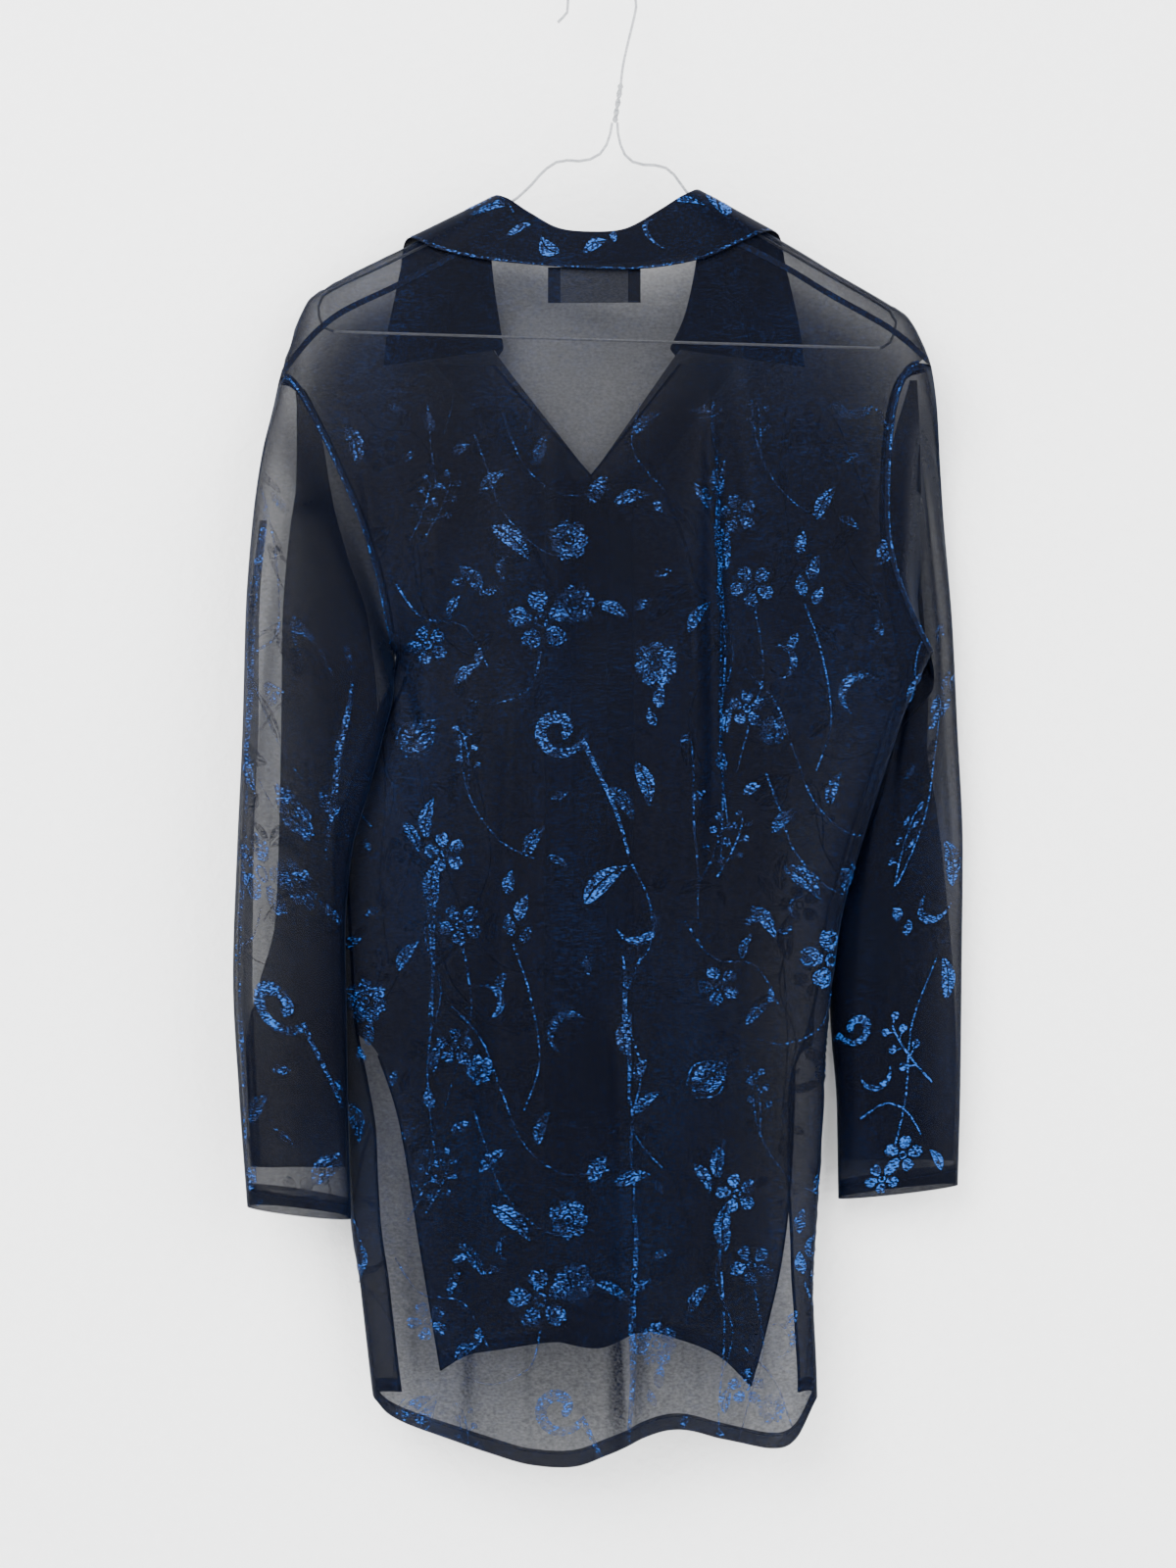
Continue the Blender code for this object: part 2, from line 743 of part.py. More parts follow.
def clear_of_torso(point, turn):
    """Move a point of the collar's leaf out, so that it lies on the panel under it."""
    crest = crest_height(point.x)
    if turn == 0 or point.z > crest:
        return point
    face = BACK if turn < 0 else FRONT
    lifted = torso_y(point.x, point.z, face) + face * LEAF_LIFT
    if face * (lifted - point.y) > 0:
        point.y = lifted
    return point


def hermite(start, end, leave, arrive, t):
    """A point on the curve that leaves the start and arrives at the end in given directions."""
    return (
        start * (1 + 2 * t) * (1 - t) ** 2
        + leave * t * (1 - t) ** 2
        + end * t * t * (3 - 2 * t)
        + arrive * t * t * (t - 1)
    )


def make_label(finish):
    """The neck label, flat against the inside of the back."""
    columns = 8
    rows = 2
    inward = WALL / 2 + LAYER_GAP + FACING_WALL / 2
    grid = []
    for j in range(rows + 1):
        z = LABEL_TOP + (LABEL_BOTTOM - LABEL_TOP) * j / rows
        line = []
        for i in range(columns + 1):
            x = LABEL_LEFT + (LABEL_RIGHT - LABEL_LEFT) * i / columns
            line.append(Vector((x, torso_y(x, z, BACK) + inward, z)))
        grid.append(line)
    add_object("neck_label", wall_mesh(grid, even_thickness(FACING_WALL)), finish)


def make_button(number, finish):
    """A small dished button on the outside of the right front."""
    z = BUTTON_TOP - BUTTON_PITCH * number
    x = V_BOTTOM.x
    front = torso_y(x, z, FRONT) + front_depth(x, z, 1) + WALL / 2 + LAYER_GAP
    profile = [
        (0.0, 0.0),
        (BUTTON_RADIUS, 0.0),
        (BUTTON_RADIUS, BUTTON_DEPTH),
        (BUTTON_RADIUS - BUTTON_RIM, BUTTON_DEPTH),
        (BUTTON_RADIUS - 2 * BUTTON_RIM, BUTTON_DEPTH - BUTTON_DISH),
        (0.0, BUTTON_DEPTH - BUTTON_DISH),
    ]
    build = bmesh.new()
    rims = []
    for radius, depth in profile:
        if radius == 0:
            rims.append([build.verts.new((x, front + depth, z))])
            continue
        rim = []
        for k in range(BUTTON_SIDES):
            angle = 2 * math.pi * k / BUTTON_SIDES
            rim.append(
                build.verts.new((x + radius * math.cos(angle), front + depth, z + radius * math.sin(angle)))
            )
        rims.append(rim)
    for low, high in zip(rims, rims[1:]):
        for k in range(BUTTON_SIDES):
            n = (k + 1) % BUTTON_SIDES
            if len(low) == 1:
                build.faces.new((low[0], high[n], high[k]))
            elif len(high) == 1:
                build.faces.new((low[k], low[n], high[0]))
            else:
                build.faces.new((low[k], low[n], high[n], high[k]))
    add_object(f"button_{number + 1}", build, finish)


def sweep(name, path, section, finish):
    """A solid along a path.  The section gives its ring of offsets at a fraction of the path."""
    build = bmesh.new()
    rings = []
    for k, point in enumerate(path):
        ahead = path[min(k + 1, len(path) - 1)] - path[max(k - 1, 0)]
        ahead.normalize()
        side = Vector((HANGER_TURN, -1, 0)).normalized()
        up = ahead.cross(side).normalized()
        ring = []
        for a, b in section(k / (len(path) - 1)):
            ring.append(build.verts.new(point + side * a + up * b))
        rings.append(ring)
    count = len(rings[0])
    for low, high in zip(rings, rings[1:]):
        for k in range(count):
            n = (k + 1) % count
            build.faces.new((low[k], low[n], high[n], high[k]))
    build.faces.new(rings[0][::-1])
    build.faces.new(rings[-1])
    add_object(name, build, finish)


def wire_section():
    """Offsets of a round wire."""
    angles = [2 * math.pi * k / WIRE_SIDES for k in range(WIRE_SIDES)]
    ring = [(WIRE_RADIUS * math.cos(angle), WIRE_RADIUS * math.sin(angle)) for angle in angles]
    return lambda fraction: ring


def twist_section(turns):
    """Offsets of two wires wound round each other, as one two-lobed section that turns."""

    def section(fraction):
        spin = 2 * math.pi * turns * fraction
        ring = []
        for turn in (spin, spin + math.pi):
            for k in range(LOBE_POINTS):
                angle = LOBE_REACH * (2 * k / (LOBE_POINTS - 1) - 1)
                a = WIRE_RADIUS * (1 + math.cos(angle))
                b = WIRE_RADIUS * math.sin(angle)
                across = a * math.cos(turn) - b * math.sin(turn)
                ring.append((across, a * math.sin(turn) + b * math.cos(turn)))
        return ring

    return section


def hanger_point(x, z):
    """A point in the hanger's plane."""
    return Vector((x, HANGER_TURN * x, z))


def wire_path(corners, spacing):
    """Points along a smooth wire through its corners."""
    length = sum(math.dist(a, b) for a, b in zip(corners, corners[1:]))
    count = max(int(length / spacing), 2)
    path = []
    for k in range(count + 1):
        x, z = resample(corners, k / count)
        path.append(hanger_point(x, z))
    return path


def make_hanger(finish):
    """The wire hanger: hook, twisted neck, two arms and the bar."""
    hook_height = WIRE_RADIUS - HOOK_RADIUS
    hook = [(-32, -36), (-27, -31)]
    for k in range(13):
        angle = math.radians(188 - 16.5 * k)
        hook.append((HOOK_RADIUS * math.cos(angle), hook_height + HOOK_RADIUS * math.sin(angle)))
    hook += [(19, -52), (15.5, -68), (14, -81)]
    sweep("hanger_hook", wire_path(hook, HOOK_STEP), wire_section(), finish)
    twist = [(13.95, -81.4), (9.6, -109)]
    sweep("hanger_twist", wire_path(twist, TWIST_STEP), twist_section(TWIST_TURNS), finish)
    left_arm = [(7.6, -109.6), (5.5, -120), (0, -131), (-12, -137), (-30, -137), (-42, -144)]
    left_arm += [(-53, -156), tuple(LEFT_ARM_KNEE), (-115, -191.2), (-160, -212.8)]
    left_arm += [tuple(LEFT_ARM_END), (-207, -245), (-204, -257), (-196, -260.6)]
    sweep("hanger_arm_left", wire_path(left_arm, WIRE_STEP), wire_section(), finish)
    right_arm = [(11.4, -109.3), (12.5, -121), (17, -133), (26, -139.5), (44, -141.5)]
    right_arm += [(54, -149), tuple(RIGHT_ARM_KNEE), (100, -183.2), (150, -212.8)]
    right_arm += [tuple(RIGHT_ARM_END), (213, -259), (210, -270), (203, -274.8)]
    sweep("hanger_arm_right", wire_path(right_arm, WIRE_STEP), wire_section(), finish)
    bar = [(-195.6, -260.7), (0, -267.8), (202.2, -274.8)]
    sweep("hanger_bar", wire_path(bar, BAR_STEP), wire_section(), finish)


def main():
    clear_scene()
    mesh_cloth = material("mesh_cloth", (0.012, 0.016, 0.035), 0.55)
    label_cloth = material("label_cloth", (0.02, 0.02, 0.024), 0.7)
    button_plastic = material("button_plastic", (0.01, 0.012, 0.03), 0.3)
    steel = material("hanger_steel", (0.62, 0.63, 0.64), 0.3, 0.9)
    make_back(mesh_cloth)
    make_front("front_left", -1, LEFT_SLEEVE, LEFT_SHOULDER_SEAM, LEFT_FRONT_HEM, LEFT_SLIT,
               LEFT_FRONT_EDGE, mesh_cloth)
    make_front("front_right", 1, RIGHT_SLEEVE, RIGHT_SHOULDER_SEAM, RIGHT_FRONT_HEM, RIGHT_SLIT,
               RIGHT_FRONT_EDGE, mesh_cloth)
    make_facing("facing_left", -1, LEFT_FRONT_EDGE, mesh_cloth)
    make_facing("facing_right", 1, RIGHT_FRONT_EDGE, mesh_cloth)
    make_sleeve("sleeve_left", LEFT_SLEEVE, mesh_cloth)
    make_sleeve("sleeve_right", RIGHT_SLEEVE, mesh_cloth)
    make_collar(mesh_cloth)
    make_label(label_cloth)
    for number in range(BUTTON_COUNT):
        make_button(number, button_plastic)
    make_hanger(steel)


main()
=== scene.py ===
# %% [markdown]
# A sheer blouse on a wire hanger
#
# This lesson builds the looks of a long mesh blouse that hangs on a wire hanger, seen from its
# back. Each panel of cloth is one thin layer wherever the real cloth is one layer, so the blouse
# is dark where two or three layers lie behind each other and pale where there is one.
#
# The first cell loads the solids of the part, which every piece below has to fit. Sizes are in
# millimetres until a mesh is made, and heights are negative, because the hook is at the top.

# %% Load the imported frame
import math
from collections import namedtuple

import bpy
import numpy as np
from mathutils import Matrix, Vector


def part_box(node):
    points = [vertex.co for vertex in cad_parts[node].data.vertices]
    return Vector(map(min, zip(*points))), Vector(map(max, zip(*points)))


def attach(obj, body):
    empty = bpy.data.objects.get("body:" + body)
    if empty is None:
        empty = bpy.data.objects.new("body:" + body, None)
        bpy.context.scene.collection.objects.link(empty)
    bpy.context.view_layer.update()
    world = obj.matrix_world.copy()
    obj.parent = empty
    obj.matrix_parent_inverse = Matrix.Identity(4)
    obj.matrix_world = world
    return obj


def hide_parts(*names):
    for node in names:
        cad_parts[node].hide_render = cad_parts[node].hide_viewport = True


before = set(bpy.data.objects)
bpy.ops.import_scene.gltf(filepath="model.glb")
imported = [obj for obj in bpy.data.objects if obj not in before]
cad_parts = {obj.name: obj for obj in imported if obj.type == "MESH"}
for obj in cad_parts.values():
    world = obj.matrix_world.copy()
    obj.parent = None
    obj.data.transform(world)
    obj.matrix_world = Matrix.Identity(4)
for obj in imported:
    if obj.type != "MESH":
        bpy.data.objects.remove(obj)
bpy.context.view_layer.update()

print("CAD nodes:", len(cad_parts))

# %% [markdown]
# Sizes of the blouse
#
# A real blouse is cut from flat pieces and takes its form from the hanger and from its weight.
# A cloth simulation could drape such pieces, but it would never hang twice in the same way as
# the solids. So the form is read from tables: one row for each height of the torso, and one
# row for each place along the shoulder line, the collar, the hems and the sleeves.

# %% Sizes of the torso and the shoulder line
BACK = -1
FRONT = 1
MM = 0.001
HANGER_TURN = -0.03

Ring = namedtuple("Ring", "z left right back front")
TORSO = [
    Ring(-160, -300, 300, 9, 9),
    Ring(-200, -298, 298, 13, 12),
    Ring(-260, -294, 294, 17, 16),
    Ring(-320, -280, 286, 20, 18),
    Ring(-400, -238, 266, 23, 19),
    Ring(-460, -190, 251, 25, 20),
    Ring(-482, -168, 245, 25, 20),
    Ring(-498, -151, 239, 26, 21),
    Ring(-545, -167, 219, 27, 21),
    Ring(-591, -184, 204, 27, 22),
    Ring(-637, -197, 189, 28, 22),
    Ring(-692, -195, 174, 28, 22),
    Ring(-780, -190, 164, 28, 21),
    Ring(-843, -187, 161, 28, 20),
    Ring(-905, -184, 157, 28, 20),
    Ring(-960, -177, 154, 27, 19),
    Ring(-1035, -168, 157, 26, 18),
    Ring(-1090, -160, 148, 26, 18),
]
RING_SQUARENESS = 2.5
CREST_ROUNDING = 22.0

Point = namedtuple("Point", "x z")
CREST = [
    Point(-244, -335),
    Point(-236, -296),
    Point(-229, -272),
    Point(-220, -247),
    Point(-213, -236),
    Point(-202, -228.4),
    Point(-71, -165.4),
    Point(-60, -160),
    Point(54, -152),
    Point(64, -157.4),
    Point(208, -242.4),
    Point(219, -249),
    Point(226, -257),
    Point(233, -271),
    Point(239, -287),
    Point(247, -330),
]
LEFT_SHOULDER_SEAM = [
    Point(-94, -201),
    Point(-118, -214),
    Point(-151, -231),
    Point(-187, -248),
    Point(-206, -262),
    Point(-220, -277),
    Point(-231, -290),
]
RIGHT_SHOULDER_SEAM = [
    Point(86, -195),
    Point(104, -203),
    Point(134, -219),
    Point(163, -237),
    Point(186, -250),
    Point(205, -261),
    Point(220, -272),
    Point(233, -283),
]
print("torso rings:", len(TORSO))

# %% Sizes of the collar, the opening, the hems and the slits
CollarRow = namedtuple("CollarRow", "seam_x seam_z fold_x fold_z edge_x edge_z turn")
COLLAR = [
    CollarRow(-76, -277, -73, -271, -161, -283, 1),
    CollarRow(-87, -256, -76, -250, -158, -259, 1),
    CollarRow(-95, -232, -80, -221, -153, -236, 1),
    CollarRow(-98, -204, -82, -190, -148, -213, 0.85),
    CollarRow(-98, -178, -80, -165, -142, -193, 0),
    CollarRow(-95, -194, -70, -166, -121, -203, -0.85),
    CollarRow(-80, -207, -53, -177, -90, -211, -1),
    CollarRow(-48, -212, -32, -189, -50, -216, -1),
    CollarRow(-8, -214, -8, -192, -8, -219, -1),
    CollarRow(34, -212, 17, -190, 34, -219, -1),
    CollarRow(68, -205, 41, -177, 73, -212, -1),
    CollarRow(89, -189, 60, -165, 103, -199, -0.85),
    CollarRow(92, -173, 72, -161, 127, -190, 0),
    CollarRow(92, -201, 72, -187, 135, -213, 0.85),
    CollarRow(85, -230, 68, -219, 141, -237, 1),
    CollarRow(71, -255, 61, -249, 146, -261, 1),
    CollarRow(54, -277, 51, -271, 149, -285, 1),
]
V_BOTTOM = Point(-8, -365)
OVERLAP_START = -384
LEFT_FRONT_EDGE = 4
RIGHT_FRONT_EDGE = -22
OVERLAP_LIFT = 2.2
OVERLAP_FADE = 44
OVERLAP_FLAT = 0.5
EDGE_LEVELS = (-560, -760)
BACK_HEM = [
    Point(-168, -1038),
    Point(-153, -1050),
    Point(-119, -1063),
    Point(-81, -1073),
    Point(-50, -1082),
    Point(-21, -1084),
    Point(4, -1074),
    Point(31, -1060),
    Point(58, -1056),
    Point(87, -1063),
    Point(121, -1071),
    Point(140, -1065),
    Point(157, -1036),
]
LEFT_FRONT_HEM = [
    Point(4, -1004),
    Point(-36, -1002),
    Point(-78, -1009),
    Point(-100, -1013),
    Point(-118, -1023),
]
RIGHT_FRONT_HEM = [
    Point(-30, -1003),
    Point(-1, -1007),
    Point(29, -995),
    Point(51, -998),
    Point(86, -1012),
    Point(109, -1033),
]
LEFT_SLIT = [Point(-164, -791), Point(-148, -841), Point(-133, -932), Point(-118, -1023)]
RIGHT_SLIT = [
    Point(141, -800),
    Point(138, -880),
    Point(131, -940),
    Point(120, -990),
    Point(109, -1033),
]
SLIT_TOP = -760
UNDERARM = -512
SIDE_WRAP = 10.0
LEFT_SLIT_WRAP = 20.0
WRAP_GROWTH = 90.0
RIGHT_SLIT_WRAP = 13.0
RIGHT_WRAP_GROWTH = 36.0
RIGHT_SLIT_CLOSED = 11.0
CLOSED_END = -985.0
CLOSED_GROWTH = 150.0
HEM_TURN = 14.0
print("collar rows:", len(COLLAR))

# %% Sizes of the sleeves
SleeveRing = namedtuple("SleeveRing", "outer_x outer_z inner_x inner_z middle half_depth bow")
LEFT_SLEEVE = [
    SleeveRing(-236, -296, -151, -498, 6, 20, 17),
    SleeveRing(-245, -345, -151, -524, -12, 18, 12),
    SleeveRing(-252, -400, -159, -562, -20, 18, 6),
    SleeveRing(-257, -470, -169, -600, -22, 18, 2),
    SleeveRing(-259, -550, -180, -640, -22, 18, 0),
    SleeveRing(-263, -640, -185, -700, -22, 18, 0),
    SleeveRing(-266, -730, -184, -768, -21, 18, 0),
    SleeveRing(-262, -812, -183, -834, -20, 18, 0),
    SleeveRing(-256, -896, -181, -905, -19, 18, 0),
]
RIGHT_SLEEVE = [
    SleeveRing(239, -287, 239, -498, -7, 20, 34),
    SleeveRing(247, -340, 243, -520, 12, 16, 17),
    SleeveRing(252, -400, 215, -558, 19, 15, 5),
    SleeveRing(258, -470, 197, -602, 20, 15, 0),
    SleeveRing(262, -550, 181, -647, 20, 15, 0),
    SleeveRing(266, -640, 171, -697, 20, 15, 0),
    SleeveRing(265, -728, 168, -755, 19, 15, 0),
    SleeveRing(264, -811, 173, -829, 18, 15, 0),
    SleeveRing(262, -886, 174, -896, 18, 15, 0),
]
UPPER_BOW = 0.5
LOWER_BOW = 2.2
SLEEVE_ROUNDNESS = 0.85
ARMHOLE_BLEND = 0.16
print("sleeve rings:", len(LEFT_SLEEVE), len(RIGHT_SLEEVE))

# %% [markdown]
# Creases
#
# Thin cloth on a hanger falls in long soft folds. Noise could make creases everywhere, but real
# ones start at a shoulder or a seam and end somewhere, so each is placed one by one. A fold runs from
# a top point to a bottom point, with its own half width and height, and a height below 0 is a
# trough. The ten folds are those of the solids, and the creases are finer. On a sleeve, a fold has
# an angle round the sleeve and a start and an end along it.

# %% Folds and creases placed one by one
Fold = namedtuple("Fold", "face top_x top_z bottom_x bottom_z half_width height")
FOLDS = [
    Fold(BACK, 80, -310, 86, -760, 24, 7),
    Fold(BACK, 16, -700, 24, -1100, 30, 7),
    Fold(BACK, -58, -330, -76, -1100, 34, 4),
    Fold(BACK, -132, -560, -118, -1100, 32, -5),
    Fold(BACK, 132, -620, 108, -1100, 30, -5),
    Fold(BACK, -22, -420, -26, -1100, 30, -4),
    Fold(FRONT, -112, -330, -88, -1020, 30, 4),
    Fold(FRONT, 96, -330, 78, -1020, 32, 4),
    Fold(FRONT, -150, -560, -140, -1020, 24, -3),
    Fold(FRONT, 140, -560, 122, -1020, 26, -3),
]
FOLD_FADE = 110.0
CREASES = [
    Fold(BACK, 78, -300, 82, -640, 7, 4.2),
    Fold(BACK, 90, -350, 95, -560, 9, -2.6),
    Fold(BACK, 66, -420, 70, -700, 10, -2.2),
    Fold(BACK, 100, -250, 118, -430, 11, 1.8),
    Fold(BACK, 12, -745, 20, -1085, 9, 3.6),
    Fold(BACK, 30, -800, 36, -1060, 10, -2.6),
    Fold(BACK, 2, -880, 3, -1090, 9, -1.8),
    Fold(BACK, -62, -520, -78, -900, 14, 2.4),
    Fold(BACK, -90, -640, -104, -1070, 12, -2.2),
    Fold(BACK, -118, -380, -136, -640, 13, 2.0),
    Fold(BACK, -176, -330, -150, -520, 9, 2.4),
    Fold(BACK, -160, -470, -120, -600, 10, -2.0),
    Fold(BACK, -34, -300, -28, -520, 12, 1.3),
    Fold(BACK, 44, -560, 48, -820, 11, 1.6),
    Fold(BACK, 124, -470, 132, -760, 12, 2.2),
    Fold(BACK, 208, -330, 190, -520, 9, 2.0),
    Fold(BACK, 196, -440, 150, -580, 10, -1.8),
    Fold(BACK, 60, -860, 66, -1060, 8, 1.9),
    Fold(BACK, 110, -850, 116, -1066, 9, 2.4),
    Fold(BACK, -140, -800, -128, -1058, 10, 2.4),
    Fold(BACK, -50, -900, -48, -1080, 8, -1.8),
    Fold(FRONT, -60, -400, -52, -980, 12, -2.0),
    Fold(FRONT, -104, -520, -96, -1010, 11, 2.2),
    Fold(FRONT, -150, -380, -128, -600, 12, 1.8),
    Fold(FRONT, 52, -430, 46, -1000, 13, 2.0),
    Fold(FRONT, 92, -560, 84, -1010, 10, -2.2),
    Fold(FRONT, 150, -360, 132, -620, 12, 1.7),
    Fold(FRONT, 190, -430, 160, -560, 9, -1.6),
]
CREASE_FADE = 60.0
CREASE_DEPTH = 1.5

SleeveFold = namedtuple("SleeveFold", "angle start end half_angle height drift")
LEFT_SLEEVE_FOLDS = [
    SleeveFold(42, 0.10, 0.98, 13, -3.2, 6),
    SleeveFold(75, 0.16, 0.80, 14, 2.4, -8),
    SleeveFold(108, 0.22, 0.99, 12, -2.8, 10),
    SleeveFold(140, 0.34, 0.92, 14, 2.2, -6),
    SleeveFold(20, 0.30, 0.70, 10, 1.6, 4),
    SleeveFold(232, 0.15, 0.95, 14, -2.6, 8),
    SleeveFold(272, 0.20, 0.85, 15, 2.4, -9),
    SleeveFold(316, 0.12, 0.97, 12, -2.0, 5),
]
RIGHT_SLEEVE_FOLDS = [
    SleeveFold(38, 0.08, 0.70, 12, -2.6, 7),
    SleeveFold(66, 0.20, 0.97, 14, 2.6, -5),
    SleeveFold(98, 0.14, 0.88, 12, -2.2, 9),
    SleeveFold(132, 0.38, 0.99, 14, 2.0, -8),
    SleeveFold(220, 0.16, 0.90, 13, 2.2, 7),
    SleeveFold(262, 0.26, 0.98, 15, -2.4, -6),
    SleeveFold(305, 0.12, 0.76, 12, 1.8, 5),
]
print("folds:", len(FOLDS), "creases:", len(CREASES))

# %% [markdown]
# Curves through the tables
#
# Straight lines between the rows of a table would leave kinks in the cloth. A spline that
# passes through every row is smooth, and the kind that reads the sizes never swings past the
# rows' own values.

# %% Smooth curves through the tables
def smooth_step(value):
    """0 below 0, 1 above 1, and a soft ramp between."""
    value = np.clip(value, 0.0, 1.0)
    return value * value * (3 - 2 * value)


def read(rows, key, column, places):
    """A column's values at some places, on a smooth curve that doesn't overshoot the rows."""
    knots = np.array([getattr(row, key) for row in rows], float)
    values = np.array([getattr(row, column) for row in rows], float)
    if knots[0] > knots[-1]:
        knots = knots[::-1]
        values = values[::-1]
    places = np.clip(places, knots[0], knots[-1])
    steps = np.diff(knots)
    rises = np.diff(values) / steps
    before = rises[:-1]
    after = rises[1:]
    same_way = before * after > 0
    total = np.where(same_way, before + after, 1.0)
    slopes = np.concatenate([rises[:1], np.where(same_way, 2 * before * after / total, 0.0), rises[-1:]])
    index = np.clip(np.searchsorted(knots, places, side="right") - 1, 0, len(steps) - 1)
    step = steps[index]
    t = (places - knots[index]) / step
    rise = values[index] * (1 + 2 * t) * (1 - t) ** 2 + values[index + 1] * t * t * (3 - 2 * t)
    return rise + step * (slopes[index] * t * (1 - t) ** 2 + slopes[index + 1] * t * t * (t - 1))


def between(rows, place):
    """Rows of numbers at a running place, on a smooth curve through all rows."""
    rows = np.array(rows, float)
    index = np.clip(np.floor(place).astype(int), 0, len(rows) - 2)
    t = (place - index)[:, None]
    a = rows[np.maximum(index - 1, 0)]
    b = rows[index]
    c = rows[index + 1]
    d = rows[np.minimum(index + 2, len(rows) - 1)]
    square = 2 * a - 5 * b + 4 * c - d
    cube = 3 * b - a - 3 * c + d
    return 0.5 * (2 * b + (c - a) * t + square * t**2 + cube * t**3)


def resample(points, fractions):
    """Points at fractions of a polyline's length, on a curve through its points."""
    points = np.array([tuple(point) for point in points], float)
    lengths = np.concatenate([[0.0], np.cumsum(np.linalg.norm(np.diff(points, axis=0), axis=1))])
    along = np.clip(fractions, 0, 1) * lengths[-1]
    place = np.interp(along, lengths, np.arange(len(points)))
    return between(points, place)


probe_height = -700.0
side_at_probe = read(TORSO, "z", "right", np.array([probe_height]))[0]
print("right side at", probe_height, "is at x", round(float(side_at_probe), 1), "mm")

# %% [markdown]
# The torso's surface
#
# The blouse hangs flat, so at each height its cloth is a flattened ring. The surface is one
# function from a place on the flat pattern to a point in space. Past the shoulder line or a
# folded side, a pattern point is carried over to the other face. A front can then be cut in one
# piece that goes over the shoulder to its seam on the back, as on the real blouse.

# %% Surface of the torso
def crest_height(x):
    """Height of the shoulder line at x."""
    return read(CREST, "x", "z", x)


def crest_rounding(x, z):
    """How far the cloth has opened below the shoulder line, from 0 on it to 1."""
    slope = (crest_height(x + 1) - crest_height(x - 1)) / 2
    depth = (crest_height(x) - z) / np.hypot(1, slope)
    open_part = np.clip(depth / CREST_ROUNDING, 0.0, 1.0)
    return np.sqrt(1 - (1 - open_part) ** 2)


def fold_sum(x, z, face, folds, fade, fade_below):
    """Sum of a table's ridges and troughs at some places."""
    total = np.zeros_like(x)
    for fold in folds:
        along = (fold.top_z - z) / (fold.top_z - fold.bottom_z)
        centre = fold.top_x + (fold.bottom_x - fold.top_x) * along
        away = np.clip(np.abs(x - centre) / fold.half_width, 0, 1)
        ends = smooth_step((fold.top_z - z) / fade)
        if fade_below:
            ends = ends * smooth_step((z - fold.bottom_z) / fade)
        else:
            ends = ends * (z >= fold.bottom_z)
        inside = (face == fold.face) & (along >= 0)
        total += np.where(inside, fold.height * ends * np.cos(away * math.pi / 2) ** 2, 0.0)
    return total


def torso_y(x, z, face):
    """Depth of the back or of the front at places of the torso."""
    left = read(TORSO, "z", "left", z)
    right = read(TORSO, "z", "right", z)
    depth = np.where(face == BACK, read(TORSO, "z", "back", z), read(TORSO, "z", "front", z))
    across = np.clip(np.abs((2 * x - left - right) / (right - left)), 0, 1)
    open_side = (1 - across**RING_SQUARENESS) ** (1 / RING_SQUARENESS)
    opened = open_side * crest_rounding(x, z)
    depth = depth + fold_sum(x, z, face, FOLDS, FOLD_FADE, False)
    depth = depth + CREASE_DEPTH * fold_sum(x, z, face, CREASES, CREASE_FADE, True)
    return HANGER_TURN * x + face * opened * depth


def on_torso(x, height, face):
    """Points of the cloth, which goes over the shoulder line and round the folded sides."""
    x = np.array(x, float)
    height = np.array(height, float)
    face = np.full(x.shape, face)
    crest = crest_height(x)
    over = height > crest
    height = np.where(over, 2 * crest - height, height)
    face = np.where(over, -face, face)
    left = read(TORSO, "z", "left", height)
    right = read(TORSO, "z", "right", height)
    face = np.where((x < left) | (x > right), -face, face)
    x = np.where(x < left, 2 * left - x, x)
    x = np.where(x > right, 2 * right - x, x)
    return np.stack([x, torso_y(x, height, face), height], axis=-1)


def front_shift(points, side):
    """Lift of a front where the two fronts lap over each other."""
    apart = np.abs(points[..., 0] - V_BOTTOM.x) / OVERLAP_FADE
    lift = side * OVERLAP_LIFT * (1 - smooth_step(apart - OVERLAP_FLAT))
    outside = points[..., 1] > HANGER_TURN * points[..., 0]
    shifted = points.copy()
    shifted[..., 1] += np.where(outside, lift, 0.0)
    return shifted


long_fold = on_torso([80.0], [-500.0], BACK)[0]
print("crest of the back's long fold:", np.round(long_fold, 1), "mm")

# %% [markdown]
# Meshes from grids
#
# A panel of cloth is a grid of points, and each four neighbours make one face. Modelling by
# hand or a modifier on a plane could give the same grid, but points worked out from the pattern
# keep the panels' edges exactly on their seams. Points are turned into metres here, once.

# %% Meshes from grids
def grid_normals(points):
    """Unit normals of a grid of points."""
    across = np.gradient(points, axis=1)
    down = np.gradient(points, axis=0)
    normals = np.cross(across, down)
    length = np.linalg.norm(normals, axis=-1, keepdims=True)
    return normals / np.maximum(length, 1e-9)


def mesh_object(name, vertices, faces, finish, slot, shine=None):
    """A smooth mesh object in metres that rides on the frame."""
    mesh = bpy.data.meshes.new(name)
    mesh.from_pydata((np.asarray(vertices) * MM).tolist(), [], faces)
    mesh.materials.append(finish)
    mesh.shade_smooth()
    if shine is not None:
        attribute = mesh.attributes.new("shine", "FLOAT", "POINT")
        attribute.data.foreach_set("value", np.asarray(shine, np.float32))
    made = bpy.data.objects.new(name, mesh)
    bpy.context.scene.collection.objects.link(made)
    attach(made, "root")
    return made


def grid_faces(rows, columns, closed=False, start=0):
    """Quads of a grid of vertices, row after row."""
    faces = []
    for j in range(rows - 1):
        for i in range(columns if closed else columns - 1):
            k = (i + 1) % columns
            a = start + j * columns
            b = a + columns
            faces.append((a + i, a + k, b + k, b + i))
    return faces


def grid_object(name, points, finish, slot, closed=False):
    """A sheet of cloth on a grid of points."""
    rows, columns = points.shape[:2]
    faces = grid_faces(rows, columns, closed)
    return mesh_object(name, points.reshape(-1, 3), faces, finish, slot)


